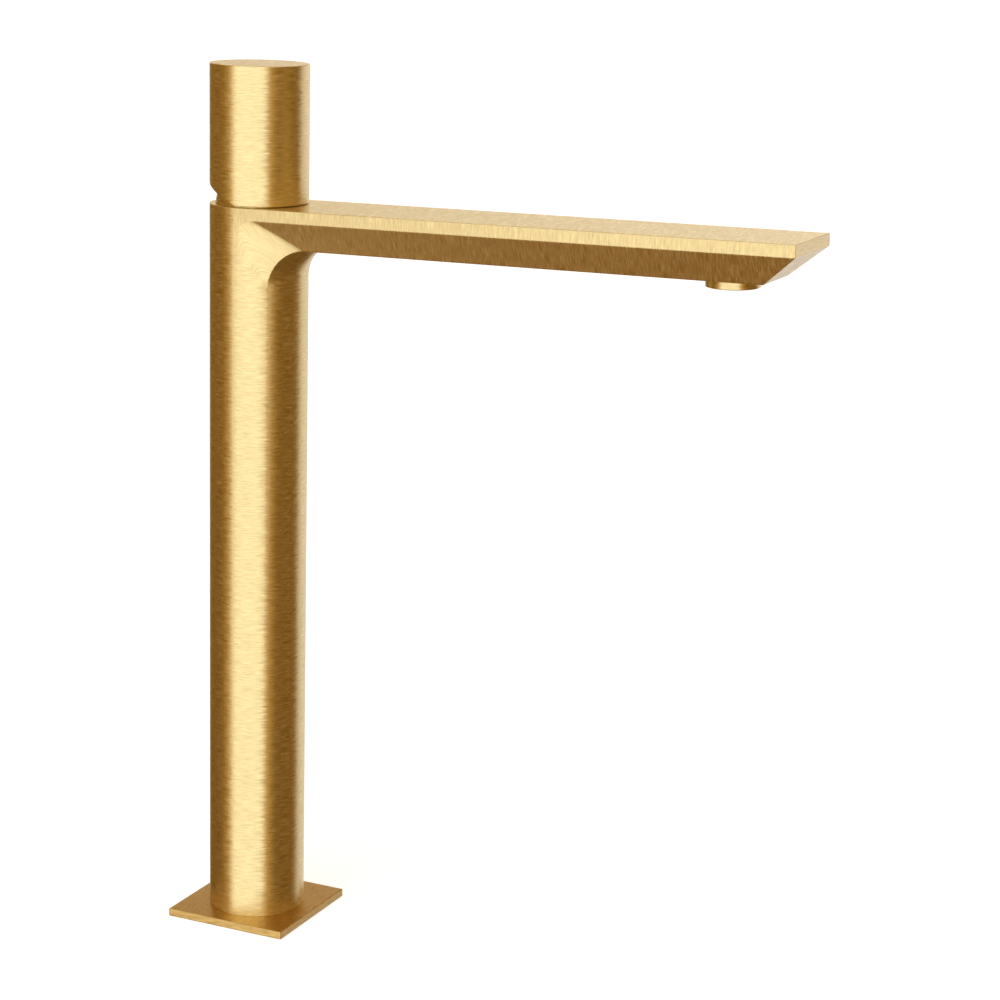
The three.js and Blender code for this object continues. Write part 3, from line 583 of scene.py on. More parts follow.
class BodyShape:
    """The lines that run down the column, round the fillet and out along the spout."""

    def __init__(self):
        s = sizes()
        self.s = s
        self.radius = s.body_radius
        self.low = BODY_LOW.z
        self.slope = math.tan(SPOUT_RISE)
        self.crease_angle = math.asin(s.crease_width / 2 / s.body_radius)
        half = MIDDLE_LINES + SIDE_LINES
        self.lines = [self.line(j) for j in range(-half, half + 1)]

    def thickness(self, x):
        s = self.s
        along = max(0.0, (abs(x) - s.spout_flat / 2) / (s.body_radius - s.spout_flat / 2))
        return s.spout_thickness + along * (s.spout_edge - s.spout_thickness)

    def tip_reach(self, height):
        s = self.s
        below = max(0.0, -height - s.spout_edge)
        return s.spout_tip - below * s.tip_bevel / (s.spout_thickness - s.spout_edge)

    def top(self, y):
        return PIVOT_Z + max(0.0, -y) * self.slope

    def line(self, j):
        """A line's points, their grain coordinates, and the angle where it stands on the column."""
        s = self.s
        side = -1.0 if j < 0 else 1.0
        n = abs(j)
        flat = s.spout_flat / 2
        slant = math.hypot(s.body_radius - flat, s.spout_thickness - s.spout_edge)
        if n <= MIDDLE_LINES:
            v = n / MIDDLE_LINES
            angle, x1, across = v * self.crease_angle, v * flat, v * flat
            radius = s.blend_middle + (s.blend_crease - s.blend_middle) * v**4
        else:
            v = (n - MIDDLE_LINES) / SIDE_LINES
            angle = self.crease_angle + (math.pi / 2 - self.crease_angle) * v
            x1, across = flat + (s.body_radius - flat) * v, flat + slant * v
            radius = s.blend_crease + (s.blend_edge - s.blend_crease) * v
        x0 = self.radius * math.sin(angle)
        out = self.radius * math.cos(angle)
        centre_u = out + radius
        under = PIVOT_Z - self.thickness(x1) / math.cos(SPOUT_RISE)
        centre_z = under + self.slope * centre_u - radius / math.cos(SPOUT_RISE)
        points = [(side * x0, -out, self.low)]
        grain = [(side * self.radius * angle, self.low)]
        for i in range(ARC_STEPS + 1):
            share = i / ARC_STEPS
            turn = share * (math.pi / 2 - SPOUT_RISE)
            ease = share * share * (3 - 2 * share)
            x = x0 + (x1 - x0) * ease
            y = -(centre_u - radius * math.cos(turn))
            points.append((side * x, y, centre_z + radius * math.sin(turn)))
            u = self.radius * angle + (across - self.radius * angle) * ease
            v = centre_z + (GRAIN_TURN - points[-1][1] - centre_z) * ease
            grain.append((side * u, v))
        height = -self.thickness(x1)
        reach = self.tip_reach(height)
        points.append(spout_point(side * x1, reach, height))
        grain.append((side * across, GRAIN_TURN + reach))
        return {"points": points, "grain": grain, "angle": side * angle}


def flat_grain(corners, across=0, along=1):
    """Grain coordinates that are two of the corners' own coordinates."""
    return [(c[across], c[along]) for c in corners]


def body_faces():
    shape = BodyShape()
    s = shape.s
    faces = Faces()
    lines = shape.lines
    first, last = SIDE_LINES, SIDE_LINES + 2 * MIDDLE_LINES  # the creases' places in the list
    whole = [line["points"] for line in lines]
    grain = [line["grain"] for line in lines]
    faces.grid(whole[: first + 1], grain[: first + 1])
    faces.grid(whole[last:], grain[last:])
    middle = [points[:-1] for points in whole[first : last + 1]]
    faces.grid(middle, [g[:-1] for g in grain[first : last + 1]])

    # The flat underside, in two halves round the outlet's bore.
    reach = s.spout_tip - s.outlet_inset
    bore, depth, steps = OUTLET_BORE, OUTLET_DEPTH, 32
    centre = first + MIDDLE_LINES
    end = spout_point(0, shape.tip_reach(-s.spout_thickness), -s.spout_thickness)
    for side in (-1, 1):
        rim = []
        for i in range(steps + 1):
            turn = math.pi * i / steps
            rim.append((side * bore * math.sin(turn), reach + bore * math.cos(turn)))
        row = [whole[centre + side * k][-2] for k in range(MIDDLE_LINES + 1)]
        crease_end = whole[centre + side * MIDDLE_LINES][-1]
        hole = [spout_point(x, u, -s.spout_thickness) for x, u in rim]
        corners = row + [crease_end, end] + hole
        faces.add(corners, flat_grain(corners))
        roof = [spout_point(x, u, depth - s.spout_thickness) for x, u in rim]
        faces.grid([hole, roof], [[(i, z) for i in range(steps + 1)] for z in (0, depth)])
        faces.add(roof, flat_grain(roof))

    # The upright edge bands and the tip.
    low_edges, top_edges = [], []
    for line in (whole[0], whole[-1]):
        low = line[1:]
        top = [(p[0], p[1], shape.top(p[1])) for p in low[:-1]]
        top.append(spout_point(low[-1][0], s.spout_tip, 0))
        faces.grid([low, top], [flat_grain(low, 2, 1), flat_grain(top, 2, 1)])
        low_edges.append(low)
        top_edges.append(top)
    face = [low_edges[0][-1], low_edges[1][-1], top_edges[1][-1], top_edges[0][-1]]
    faces.add(face, flat_grain(face, 0, 2))
    bevel = [line[-1] for line in whole[: first + 1]] + [end] + [line[-1] for line in whole[last:]]
    faces.add(bevel, flat_grain(bevel, 0, 2))

    # The back half of the column, the bore, the top face and the foot.
    inner = s.body_radius - s.wall
    back_steps = s.facets // 2
    front = [line["angle"] for line in lines]
    back = [math.pi / 2 + math.pi * k / back_steps for k in range(back_steps + 1)]

    def point(radius, angle, z=None):
        y = -radius * math.cos(angle)
        return (radius * math.sin(angle), y, shape.top(y) if z is None else z)

    middle_z = whole[0][1][2]
    columns = [[point(s.body_radius, a, z) for z in (shape.low, middle_z, None)] for a in back]
    for column in (columns[0], columns[-1]):
        for i in range(3):
            column[i] = (math.copysign(s.body_radius, column[i][0]), 0.0, column[i][2])
    faces.grid(columns, [[(s.body_radius * a, p[2]) for p in c] for a, c in zip(back, columns)])
    ring = front + back[1:]
    bore_columns = [[point(inner, a, shape.low), point(inner, a)] for a in ring]
    faces.grid(bore_columns, [[(inner * a, p[2]) for p in c] for a, c in zip(ring, bore_columns)])
    outer_low = [line[0] for line in whole] + [c[0] for c in columns[1:]]
    rims = [[a, b[0]] for a, b in zip(outer_low, bore_columns)]
    faces.grid(rims, [flat_grain(r) for r in rims])
    back_in = bore_columns[len(front) - 1 :]
    rims = [[c[2], b[1]] for c, b in zip(columns, back_in)]
    faces.grid(rims, [flat_grain(r) for r in rims])
    top = top_edges[1] + top_edges[0][::-1] + [b[1] for b in bore_columns[: len(front)]]
    faces.add(top, flat_grain(top))
    return faces


def make_body():
    s = sizes()
    bm = body_faces().mesh()
    inner = s.body_radius - s.wall

    def hidden(p):
        in_bore = math.hypot(p.x, p.y) < inner + 0.3
        at_outlet = math.hypot(p.x, p.y + s.spout_tip - s.outlet_inset) < OUTLET_BORE + 0.35
        return in_bore or at_outlet or p.z < BODY_LOW.z + 0.1

    break_edges(bm, s.edge, keep=hidden, angle=14.0)
    mesh = smooth_mesh(bm, "column_and_spout")
    rider("column_and_spout", mesh, "tap_body", ["faucet_body"], "brushed_gold")


# ---------------------------------------------------------------- base plate
PLATE_HOLE = 13.7  # radius
GROOVE_IN, GROOVE_OUT, GROOVE_DEPTH = 16.5, 21.5, 1.5  # radii and depth of the gasket's groove


def make_base_plate():
    s = sizes()
    half, top = PLATE_HIGH.x, PLATE_HIGH.z
    quarter = 24  # facets of a quarter turn
    faces = Faces()
    for k in range(4):
        turn = Matrix.Rotation(k * math.pi / 2, 3, "Z")

        def at(x, y, z):
            return tuple(turn @ Vector((x, y, z)))

        for radius, z in ((PLATE_HOLE, top), (GROOVE_OUT, 0.0)):
            curve = []
            for i in range(quarter + 1):
                a = -math.pi / 4 + math.pi / 2 * i / quarter
                curve.append(at(radius * math.cos(a), radius * math.sin(a), z))
            corners = [at(half, -half, z), at(half, half, z)] + curve[::-1]
            faces.add(corners, flat_grain(corners))
        side = [at(half, -half, 0.0), at(half, half, 0.0), at(half, half, top), at(half, -half, top)]
        along = 0 if k % 2 else 1
        faces.add(side, flat_grain(side, along, 2))
    profile = [(GROOVE_OUT, 0), (GROOVE_OUT, GROOVE_DEPTH), (GROOVE_IN, GROOVE_DEPTH), (GROOVE_IN, 0)]
    profile += [(PLATE_HOLE, 0), (PLATE_HOLE, top)]
    rings = turned(profile, 4 * quarter, math.pi / 4, math.pi / 4 + 2 * math.pi)
    closing = len(profile)  # the last face of each step would close the profile through the plate
    faces.rows += [row for i, row in enumerate(rings.rows) if i % closing != closing - 1]
    bm = faces.mesh()
    break_edges(bm, s.edge * 1.25, keep=lambda p: max(abs(p.x), abs(p.y)) < half - 0.5)
    # The plate takes the darker copy of the gold: painted shade.
    rider("plate", smooth_mesh(bm, "plate"), "tap_body", ["base_plate"], "shaded_plate_gold")


# ---------------------------------------------------------------- handle
def handle_faces():
    s = sizes()
    faces = Faces()
    low, high = HANDLE_LOW.z, HANDLE_HIGH.z
    outer, inner = s.body_radius, s.body_radius - s.handle_wall
    ceiling = high - s.handle_cap
    slope = math.tan(s.handle_bevel)
    angles = [2 * math.pi * k / s.facets for k in range(s.facets + 1)]

    def foot(radius, angle):
        y = radius * math.sin(angle)
        return (radius * math.cos(angle), y, low + max(0.0, y) * slope)

    outside, inside = [], []
    for a in angles:
        x, y = math.cos(a), math.sin(a)
        outside.append([foot(outer, a), (outer * x, outer * y, high)])
        inside.append([foot(inner, a), (inner * x, inner * y, ceiling)])
    for lines, radius in ((outside, outer), (inside, inner)):
        faces.grid(lines, [[(radius * a, p[2]) for p in line] for a, line in zip(angles, lines)])
    rims = [[a[0], b[0]] for a, b in zip(outside, inside)]
    faces.grid(rims, [flat_grain(r) for r in rims])
    for lines in (outside, inside):
        disc = [line[1] for line in lines[:-1]]
        faces.add(disc, flat_grain(disc))
    return faces


def make_handle():
    s = sizes()
    plug_low, plug_high = node_box("handle_screw_plug")
    middle = (plug_low + plug_high) / 2
    plug_radius = (plug_high.x - plug_low.x) / 2
    bm = handle_faces().mesh()
    inner = s.body_radius - s.handle_wall
    break_edges(bm, s.edge, keep=lambda p: math.hypot(p.x, p.y) < inner + 0.3)
    mesh = smooth_mesh(bm, "handle")
    bore = rod_mesh(plug_radius + 0.15, (0, inner - 2, middle.z), (0, s.body_radius + 3, middle.z))
    mesh = cut_away(mesh, [bore])
    rider("handle", mesh, "handle", ["handle_shell"], "brushed_gold")

    length = plug_high.y - plug_low.y
    profile = [(0, 0), (plug_radius, 0), (plug_radius, length), (0, length)]
    place = Matrix.Translation((0, plug_low.y, middle.z)) @ Matrix.Rotation(-math.pi / 2, 4, "X")
    node, look = ["handle_screw_plug"], "brushed_gold"
    round_piece("screw_cover", profile, "handle", look, node, look, edge=0.3, facets=ROUND, place=place)


# ---------------------------------------------------------------- dome under the handle
def make_dome():
    s = sizes()
    foot, shoulder = node_box("dome_cover")[0].z, PIVOT_Z - 0.3
    skirt = s.body_radius - s.wall - 0.4  # its outside, which stands in the column
    dome = s.body_radius - s.handle_wall - 0.5
    inside, groove = skirt - 1.4, skirt - 0.8
    groove_low, groove_high = foot + 0.9, foot + 2.3
    opening = 46.0  # degrees up, where the dome ends
    profile = [(inside, foot), (skirt, foot), (skirt, groove_low), (groove, groove_low)]
    profile += [(groove, groove_high), (skirt, groove_high), (skirt, shoulder)]
    profile += arc(0, PIVOT_Z, dome, 0, opening, 20)
    profile += arc(0, PIVOT_Z, dome - 1.5, opening, 0, 16)
    profile += [(inside, shoulder)]
    node = ["dome_cover"]
    round_piece("neck_dome", profile, "tap_body", "brushed_gold", node, "brushed_gold", edge=0.1, facets=96)


# ---------------------------------------------------------------- geometry node trees
def new_tree(name, **inputs):
    """A tree with its named number inputs and their defaults, a material input and a geometry output."""
    tree = bpy.data.node_groups.new(name, "GeometryNodeTree")
    tree.interface.new_socket("Geometry", in_out="OUTPUT", socket_type="NodeSocketGeometry")
    for label, default in inputs.items():
        socket = tree.interface.new_socket(label, in_out="INPUT", socket_type="NodeSocketFloat")
        socket.default_value = default
    tree.interface.new_socket("Material", in_out="INPUT", socket_type="NodeSocketMaterial")
    nodes = Nodes(tree)
    given = tree.nodes.new("NodeGroupInput")
    return tree, nodes, given.outputs


def close_tree(tree, nodes, geometry, given):
    """Realize Instances, smooth shading and Set Material, then the output."""
    real = nodes.add("GeometryNodeRealizeInstances", {"Geometry": geometry}).outputs["Geometry"]
    smooth = nodes.add("GeometryNodeSetShadeSmooth", {"Geometry": real}).outputs["Geometry"]
    painted = nodes.add("GeometryNodeSetMaterial", {"Geometry": smooth, "Material": given["Material"]})
    out = tree.nodes.new("NodeGroupOutput")
    tree.links.new(painted.outputs["Geometry"], out.inputs["Geometry"])


def thread_tree():
    """A screw thread: a ridge that winds up round a core."""
    inputs = {"Radius": 0.0035, "Pitch": 0.00125, "Turns": 10.0, "Ridge": 0.0004, "Low": 0.0}
    tree, nodes, given = new_tree("Screw thread", **inputs)
    height = nodes.math("MULTIPLY", given["Pitch"], given["Turns"])
    values = {"Resolution": 28, "Rotations": given["Turns"], "Start Radius": given["Radius"]}
    values |= {"End Radius": given["Radius"], "Height": height}
    spiral = nodes.add("GeometryNodeCurveSpiral", values).outputs["Curve"]
    ridge = nodes.add("GeometryNodeCurvePrimitiveCircle", {"Resolution": 6, "Radius": given["Ridge"]})
    swept = nodes.add("GeometryNodeCurveToMesh", {"Curve": spiral, "Profile Curve": ridge.outputs["Curve"]})
    swept.inputs["Fill Caps"].default_value = True
    lift = nodes.add("ShaderNodeCombineXYZ", {"Z": given["Low"]}).outputs["Vector"]
    placed = nodes.add("GeometryNodeTransform", {"Geometry": swept.outputs["Mesh"], "Translation": lift})
    close_tree(tree, nodes, placed.outputs["Geometry"], given)
    return tree


def ring_tree():
    """A sealing ring with a round section, lying level."""
    tree, nodes, given = new_tree("Sealing ring", Radius=0.015, Section=0.0005, Height=0.0)
    path = nodes.add("GeometryNodeCurvePrimitiveCircle", {"Resolution": 96, "Radius": given["Radius"]})
    section = nodes.add("GeometryNodeCurvePrimitiveCircle", {"Resolution": 14, "Radius": given["Section"]})
    values = {"Curve": path.outputs["Curve"], "Profile Curve": section.outputs["Curve"]}
    swept = nodes.add("GeometryNodeCurveToMesh", values).outputs["Mesh"]
    lift = nodes.add("ShaderNodeCombineXYZ", {"Z": given["Height"]}).outputs["Vector"]
    placed = nodes.add("GeometryNodeTransform", {"Geometry": swept, "Translation": lift})
    close_tree(tree, nodes, placed.outputs["Geometry"], given)
    return tree


def woven_tree():
    """A round of wire cloth: two layers of wires, each cut to the round's chord."""
    tree, nodes, given = new_tree("Wire cloth", Radius=0.006, Spacing=0.0006, Wire=0.0001, Layer=0.0002)
    gaps = nodes.math("MULTIPLY", nodes.math("DIVIDE", given["Radius"], given["Spacing"]), 2.0)
    count = nodes.math("ADD", gaps, -1.0)
    start = nodes.math("SUBTRACT", given["Spacing"], given["Radius"])
    from_left = nodes.add("ShaderNodeCombineXYZ", {"X": start}).outputs["Vector"]
    step = nodes.add("ShaderNodeCombineXYZ", {"X": given["Spacing"]}).outputs["Vector"]
    values = {"Count": count, "Start Location": from_left, "Offset": step}
    places = nodes.add("GeometryNodeMeshLine", values, mode="OFFSET").outputs["Mesh"]
    where = nodes.add("GeometryNodeInputPosition").outputs["Position"]
    x = nodes.add("ShaderNodeSeparateXYZ", {"Vector": where}).outputs["X"]
    square = nodes.math("SUBTRACT", nodes.math("POWER", given["Radius"], 2.0), nodes.math("MULTIPLY", x, x))
    chord = nodes.math("SQRT", nodes.math("MAXIMUM", square, 1e-9))
    values = {"Vertices": 6, "Radius": given["Wire"], "Depth": 2.0}
    wire = nodes.add("GeometryNodeMeshCylinder", values).outputs["Mesh"]
    scale = nodes.add("ShaderNodeCombineXYZ", {"X": 1.0, "Y": 1.0, "Z": chord}).outputs["Vector"]
    turn = nodes.add("FunctionNodeEulerToRotation", {"Euler": (math.pi / 2, 0, 0)}).outputs["Rotation"]
    values = {"Points": places, "Instance": wire, "Rotation": turn, "Scale": scale}
    layer = nodes.add("GeometryNodeInstanceOnPoints", values).outputs["Instances"]
    over = nodes.add("ShaderNodeCombineXYZ", {"Z": given["Layer"]}).outputs["Vector"]
    values = {"Geometry": layer, "Translation": over, "Rotation": (0, 0, math.pi / 2)}
    crossed = nodes.add("GeometryNodeTransform", values).outputs["Geometry"]
    both = nodes.add("GeometryNodeJoinGeometry")
    tree.links.new(layer, both.inputs["Geometry"])
    tree.links.new(crossed, both.inputs["Geometry"])
    close_tree(tree, nodes, both.outputs["Geometry"], given)
    return tree


TREES = {}  # finished trees, by the function that makes each


def grown(kind, finish_name, place=None, **values):
    """The plain mesh that a tree makes, with its inputs set by name, put in its place."""
    if kind not in TREES:
        TREES[kind] = kind()
    holder = in_scene("growing", bpy.data.meshes.new("growing"))
    modifier = holder.modifiers.new("Nodes", "NODES")
    modifier.node_group = TREES[kind]
    values["Material"] = material(finish_name)
    for item in TREES[kind].interface.items_tree:
        if item.in_out == "INPUT" and item.name in values:
            modifier[item.identifier] = values[item.name]
    mesh = settled(holder)
    if place:
        mesh.transform(place)
    return mesh


def joined(meshes, name):
    """Several meshes as one."""
    bm = bmesh.new()
    for mesh in meshes:
        bm.from_mesh(mesh)
    return finished(bm, name)


def metres(place):
    """A placing matrix in millimetres, for a mesh in metres."""
    made = place.copy()
    made.translation *= MM
    return made


# ---------------------------------------------------------------- outlet
COLLAR = 9.4  # radius of the outlet's collar
COLLAR_THREAD = 8.6  # crest radius of its thread
COLLAR_OPENING = 6.9
COLLAR_LIP = 0.35  # rounding of the lower rim
COLLAR_DROP = 3.0  # the rim's distance under the spout


def make_outlet():
    place = outlet_place()
    underside = -sizes().spout_thickness
    low, seat, top = underside - COLLAR_DROP, underside - 0.3, underside + 6.5
    core, shelf = COLLAR_THREAD - 0.2, COLLAR_OPENING + 0.6
    profile = [(COLLAR_OPENING, low + COLLAR_LIP)]
    profile += arc(COLLAR_OPENING + COLLAR_LIP, low + COLLAR_LIP, COLLAR_LIP, 180, 270, 4)[1:]
    profile += arc(COLLAR - COLLAR_LIP, low + COLLAR_LIP, COLLAR_LIP, 270, 360, 4)
    profile += [(COLLAR, seat), (core, seat), (core, top), (shelf, top)]
    profile += [(shelf, low + 1.6), (COLLAR_OPENING, low + 1.6)]
    ring = smooth_mesh(turned(profile, 96).mesh(place), "ring")
    turns = {"Radius": (COLLAR_THREAD - 0.25) * MM, "Pitch": MM, "Turns": 5.4, "Ridge": 0.24 * MM}
    thread = grown(thread_tree, "brushed_gold", metres(place), Low=(seat + 0.6) * MM, **turns)
    mesh = joined([ring, thread], "ring_with_thread")
    rider("outlet_collar", mesh, "aerator_ring", ["outlet_ring"], "brushed_gold")

    screen_low = low + 0.9
    wires = {"Radius": 6.5 * MM, "Spacing": 0.62 * MM, "Wire": 0.11 * MM, "Layer": 0.2 * MM}
    level = metres(place @ Matrix.Translation((0, 0, screen_low + 0.2)))
    cloth = grown(woven_tree, "steel", level, **wires)
    profile = [(6.2, screen_low), (6.7, screen_low), (6.7, screen_low + 0.5), (6.2, screen_low + 0.5)]
    rim = smooth_mesh(turned(profile, 72).mesh(place), "rim")
    mesh = joined([cloth, rim], "screen")
    rider("outlet_gauze", mesh, "aerator_core", ["outlet_screen"], "steel")


# ---------------------------------------------------------------- seals
def make_seals():
    """The round-section rings, each from its CAD node's box."""
    for node in ("foot_ring", "dome_ring", "cartridge_ring", "block_ring_lower", "block_ring_upper"):
        low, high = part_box(node)
        section = (high[2] - low[2]) / 2
        height = (high[2] + low[2]) / 2
        mesh = grown(ring_tree, "rubber", Radius=high[0] - section, Section=section, Height=height)
        rider(node.replace("ring", "seal"), mesh, "tap_body", [node], "rubber")


# ---------------------------------------------------------------- supply risers
def make_risers():
    for side in ("hot", "cold"):
        node = side + "_riser"
        low, high = node_box(node)
        middle = (low + high) / 2
        outer = (high.x - low.x) / 2
        profile = [(outer - 1, low.z), (outer, low.z), (outer, high.z), (outer - 1, high.z)]
        place = Matrix.Translation((middle.x, middle.y, 0))
        tube = (side + "_tube", profile, "tap_body", "copper", [node], "copper")
        round_piece(*tube, edge=0.2, facets=ROUND, place=place)


# ---------------------------------------------------------------- clamp under the deck
STUD_PITCH = 1.25
THREAD_HEIGHT = 0.55  # crest over core of the stud's thread
NUT_BORE = 4.4
NUT_CHAMFER = 0.9


def make_stud():
    low, high = node_box("fixing_stud")
    middle = (low + high) / 2
    core = (high.x - low.x) / 2 - THREAD_HEIGHT
    profile = [(0, low.z), (core - 0.8, low.z), (core, low.z + 0.8)]
    profile += [(core, high.z - 0.5), (core - 0.5, high.z), (0, high.z)]
    place = Matrix.Translation((middle.x, middle.y, 0))
    bar = smooth_mesh(turned(profile, ROUND).mesh(place), "bar")
    turns = {"Radius": core * MM, "Pitch": STUD_PITCH * MM, "Ridge": 0.5 * MM, "Low": (low.z + 1.6) * MM}
    ridge = grown(thread_tree, "steel", metres(place), Turns=(high.z - low.z - 3.2) / STUD_PITCH, **turns)
    mesh = joined([bar, ridge], "stud")
    rider("threaded_stud", mesh, "tap_body", ["fixing_stud"], "steel")


def make_nut():
    """A hexagon nut whose corners are turned off at both ends."""
    low, high = node_box("clamp_nut")
    middle = (low + high) / 2
    flats = (high.x - low.x) / 2
    corner = flats / math.cos(math.pi / 6) + 0.1
    height = high.z - low.z
    profile = [(NUT_BORE, 0), (flats - 0.2, 0), (corner, NUT_CHAMFER), (corner, height - NUT_CHAMFER)]
    profile += [(flats - 0.2, height), (NUT_BORE, height)]
    place = Matrix.Translation((middle.x, middle.y, low.z))
    blank = smooth_mesh(turned(profile, 96).mesh(place), "nut")
    centre = Matrix.Translation((middle.x, middle.y, low.z + height / 2))
    beside = Matrix.Translation((flats + 5, 0, 0)) @ Matrix.Diagonal((10, 20, height + 4, 1))
    cutters = []
    for k in range(6):
        bm = bmesh.new()
        place = centre @ Matrix.Rotation(math.pi * k / 3, 4, "Z") @ beside
        bmesh.ops.create_cube(bm, size=1.0, matrix=Matrix.Scale(MM, 4) @ place)
        cutters.append(finished(bm, "flat"))
    rider("hexagon_nut", cut_away(blank, cutters), "clamp", ["clamp_nut"], "raw_brass")


# ---------------------------------------------------------------- finishes of the CAD nodes that stay
NODE_FINISH = {"clamp_washer": "washer_steel"}


def finish_nodes():
    """A material on every CAD node that shows as it is, from its slot in the record."""
    slots = {part["node"]: part["material_slot"] for part in frame["record"]["subparts"]}
    for name, obj in frame["nodes"].items():
        chosen = NODE_FINISH.get(name, slots[name])
        obj.data.materials.clear()
        obj.data.materials.append(material(chosen))


# ---------------------------------------------------------------- studio
def direction(azimuth):
    """The level direction of an azimuth in degrees: 0 is -Y and 90 is +X."""
    a = math.radians(azimuth)
    return (math.sin(a), -math.cos(a), 0.0)


GLOOM_LOW, GLOOM_HIGH = (0.142, 0.064, 0.0), (0.37, 0.21, 0.05)  # the dark part's low and high colours
GLOOM_FROM, GLOOM_TO = -25, 30  # the elevations between which it changes
PANELS = (
    # In degrees: middle azimuth, half width, lowest and highest elevation, soft edge at the sides,
    # soft edge above and below. Then the colour.
    (-150.0, 70.0, -91.0, -38.0, 20.0, 12.0, (0.21, 0.09, 0.0)),
    (93.0, 42.0, -29.0, 12.0, 13.0, 7.0, (0.84, 0.82, 0.90)),
    (112.0, 30.0, 2.0, 18.5, 6.0, 4.0, (1.20, 1.15, 1.02)),
    (-84.5, 57.0, -48.0, 66.0, 13.0, 12.0, (0.54, 0.32, 0.06)),
    (-84.5, 40.5, -48.0, 66.0, 7.0, 12.0, (1.32, 1.34, 1.48)),
    (0.0, 181.0, 52.0, 91.0, 5.0, 12.0, (0.90, 0.86, 0.80)),
)


def make_world(level):
    world = bpy.data.worlds.new("Studio")
    bpy.context.scene.world = world
    world.use_nodes = True
    nodes = Nodes(world.node_tree)
    look = nodes.add("ShaderNodeTexCoord").outputs["Generated"]
    z = nodes.add("ShaderNodeSeparateXYZ", {"Vector": look}).outputs["Z"]
    rise = nodes.math("ARCSINE", z)
    flat = nodes.add("ShaderNodeVectorMath", {0: look, 1: (1, 1, 0)}, operation="MULTIPLY").outputs[0]
    heading = nodes.add("ShaderNodeVectorMath", {0: flat}, operation="NORMALIZE").outputs[0]
    gloom = nodes.scale_to(rise, math.radians(GLOOM_FROM), math.radians(GLOOM_TO))
    colour = nodes.mix(gloom, opaque(GLOOM_LOW), opaque(GLOOM_HIGH))
    for azimuth, half, low, high, side_edge, edge, shade in PANELS:
        towards = {0: heading, 1: direction(azimuth)}
        dot = nodes.add("ShaderNodeVectorMath", towards, operation="DOT_PRODUCT").outputs["Value"]
        across = 1.0
        if half < 180:  # a wider panel goes all the way round
            outer, inner = math.radians(half + side_edge), math.radians(half - side_edge)
            across = nodes.scale_to(dot, math.cos(outer), math.cos(inner), smooth=True)
        start, end = math.radians(low - edge), math.radians(low + edge)
        up = nodes.scale_to(rise, start, end, smooth=True)
        start, end = math.radians(high - edge), math.radians(high + edge)
        down = nodes.scale_to(rise, start, end, 1.0, 0.0, smooth=True)
        mask = nodes.math("MULTIPLY", nodes.math("MULTIPLY", up, down), across)
        colour = nodes.mix(mask, colour, opaque(shade))
    back = world.node_tree.nodes["Background"]
    world.node_tree.links.new(colour, back.inputs["Color"])
    back.inputs["Strength"].default_value = level


FLOOR_RADIUS, BACKDROP_RADIUS = 7.0, 7.2  # metres


def plain_glow(name, colour, glow):
    made = bpy.data.materials.new(name)
    made.use_nodes = True
    shader = made.node_tree.nodes["Principled BSDF"]
    shader.inputs["Base Color"].default_value = opaque(colour)
    shader.inputs["Roughness"].default_value = 0.9
    shader.inputs["Specular IOR Level"].default_value = 0.0
    shader.inputs["Emission Color"].default_value = (1, 1, 1, 1)
    shader.inputs["Emission Strength"].default_value = glow
    return made


def make_stage():
    """A pale floor, and a pale backdrop all round that only the camera sees."""
    bm = bmesh.new()
    bmesh.ops.create_circle(bm, cap_ends=True, segments=96, radius=FLOOR_RADIUS)
    floor = in_scene("floor", finished(bm, "floor"))
    floor.data.materials.append(plain_glow("pale_floor", (0.82, 0.82, 0.82), 0.62))
    bm = bmesh.new()
    bmesh.ops.create_icosphere(bm, subdivisions=4, radius=BACKDROP_RADIUS)
    bmesh.ops.reverse_faces(bm, faces=bm.faces)
    drop = in_scene("backdrop", finished(bm, "backdrop"))
    drop.data.materials.append(plain_glow("pale_backdrop", (0, 0, 0), 1.05))
    for obj in (floor, drop):
        obj.visible_glossy = False
    drop.visible_diffuse = False
    drop.visible_transmission = False
    drop.visible_shadow = False


def make_camera():
    view = studio()
    az, turn = view.azimuth, view.azimuth + view.yaw
    place = Vector((view.distance * math.sin(az), -view.distance * math.cos(az), view.height))
    level = math.cos(view.pitch)
    ahead = Vector((-math.sin(turn) * level, math.cos(turn) * level, -math.sin(view.pitch)))
    right = ahead.cross(Vector((0, 0, 1))).normalized()
    up = right.cross(ahead)
    c, s = math.cos(view.roll), math.sin(view.roll)
    side, top = right * c + up * s, up * c - right * s
    data = bpy.data.cameras.new("camera")
    data.lens = view.lens
    data.sensor_width = 36.0
    camera = in_scene("camera", data)
    camera.matrix_world = Matrix.Translation(place) @ Matrix((side, top, -ahead)).transposed().to_4x4()
    bpy.context.scene.camera = camera


# ---------------------------------------------------------------- operators
class Step:
    """An operator that runs its makers in order, and fails if one of them adds nothing to the scene."""

    makers = ()

    def execute(self, context):
        for make in self.makers:
            before = len(context.scene.objects)
            make()
            if len(context.scene.objects) == before:
                raise RuntimeError(make.__name__ + " made nothing")
        return {"FINISHED"}


class MIXER_OT_studio(Step, bpy.types.Operator):
    """Make the light, the floor, the backdrop and the camera"""

    bl_idname = "mixer.studio"
    bl_label = "Studio"
    makers = (make_stage, make_camera)

    def execute(self, context):
        context.scene.view_settings.view_transform = "Standard"
        make_world(studio().level)
        return super().execute(context)


class MIXER_OT_finishes(bpy.types.Operator):
    """Give every CAD node its material"""

    bl_idname = "mixer.finishes"
    bl_label = "Finishes"

    def execute(self, context):
        finish_nodes()
        for name, obj in frame["nodes"].items():
            if not obj.data.materials:
                raise RuntimeError(name + " has no material")
        return {"FINISHED"}


class MIXER_OT_body(Step, bpy.types.Operator):
    """Make the column with its spout"""

    bl_idname = "mixer.body"
    bl_label = "Column and spout"
    makers = (make_body,)


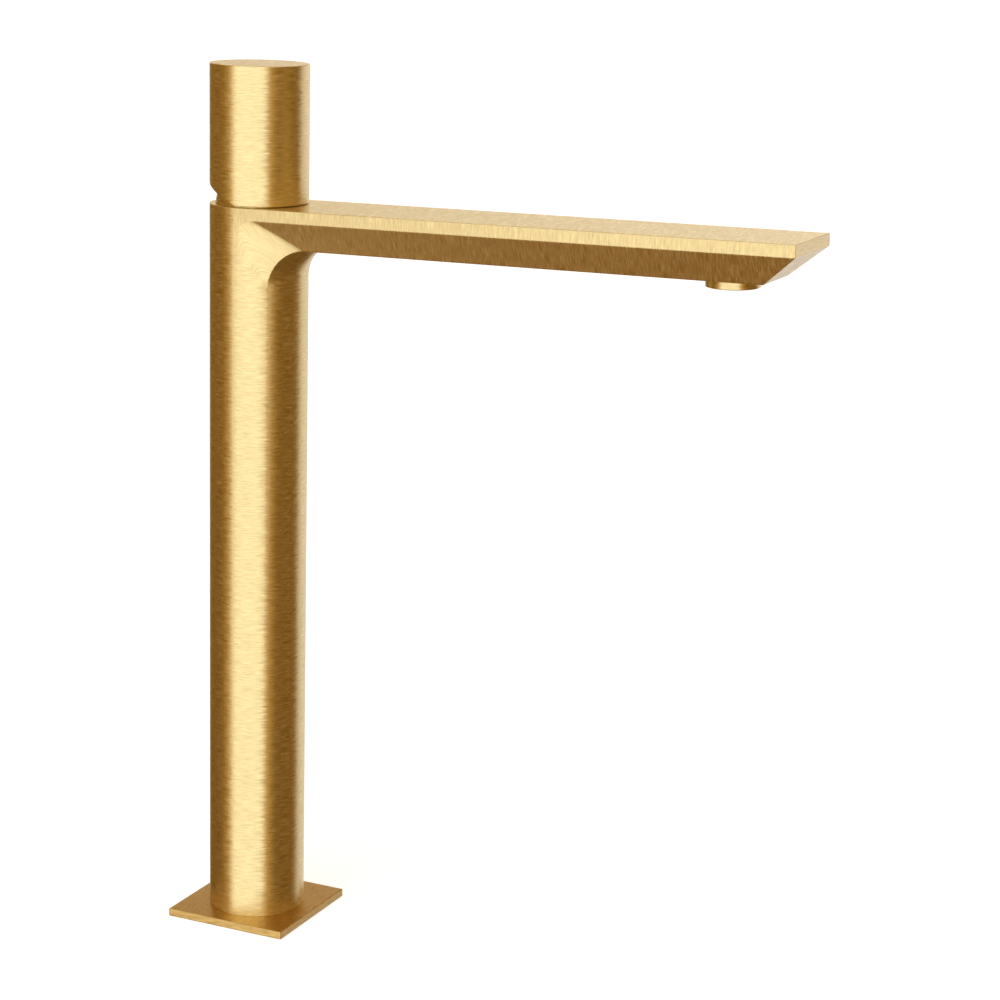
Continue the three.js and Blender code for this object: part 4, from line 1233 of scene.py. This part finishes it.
class MIXER_OT_plate(Step, bpy.types.Operator):
    """Make the square base plate"""

    bl_idname = "mixer.plate"
    bl_label = "Base plate"
    makers = (make_base_plate,)


class MIXER_OT_handle(Step, bpy.types.Operator):
    """Make the handle, the cover of its screw and the dome under it"""

    bl_idname = "mixer.handle"
    bl_label = "Handle"
    makers = (make_handle, make_dome)


class MIXER_OT_outlet(Step, bpy.types.Operator):
    """Make the outlet's collar and gauze"""

    bl_idname = "mixer.outlet"
    bl_label = "Outlet"
    makers = (make_outlet,)


class MIXER_OT_inside(Step, bpy.types.Operator):
    """Make the seals and the supply risers"""

    bl_idname = "mixer.inside"
    bl_label = "Seals and risers"
    makers = (make_seals, make_risers)


class MIXER_OT_clamp(Step, bpy.types.Operator):
    """Make the stud and the nut under the deck"""

    bl_idname = "mixer.clamp"
    bl_label = "Deck clamp"
    makers = (make_stud, make_nut)


class MIXER_PT_panel(bpy.types.Panel):
    """The mixer's steps, in order"""

    bl_label = "Tall basin mixer"
    bl_space_type = "VIEW_3D"
    bl_region_type = "UI"
    bl_category = "Mixer"

    def draw(self, context):
        for step in STEPS:
            self.layout.operator(step.bl_idname)
        for group in (context.scene.mixer_sizes, context.scene.mixer_finish, context.scene.mixer_studio):
            box = self.layout.box()
            for name in group.__annotations__:
                box.prop(group, name)


STEPS = (
    MIXER_OT_studio,
    MIXER_OT_finishes,
    MIXER_OT_body,
    MIXER_OT_plate,
    MIXER_OT_handle,
    MIXER_OT_outlet,
    MIXER_OT_inside,
    MIXER_OT_clamp,
)
GROUPS = {"mixer_sizes": MixerSizes, "mixer_finish": MixerFinish, "mixer_studio": MixerStudio}


def register():
    for cls in (*GROUPS.values(), *STEPS, MIXER_PT_panel):
        bpy.utils.register_class(cls)
    for name, cls in GROUPS.items():
        setattr(bpy.types.Scene, name, PointerProperty(type=cls))


def unregister():
    for name in GROUPS:
        delattr(bpy.types.Scene, name)
    for cls in reversed((*GROUPS.values(), *STEPS, MIXER_PT_panel)):
        bpy.utils.unregister_class(cls)


def main():
    register()
    for step in STEPS:
        group, name = step.bl_idname.split(".")
        getattr(getattr(bpy.ops, group), name)()


if __name__ == "__main__":
    main()
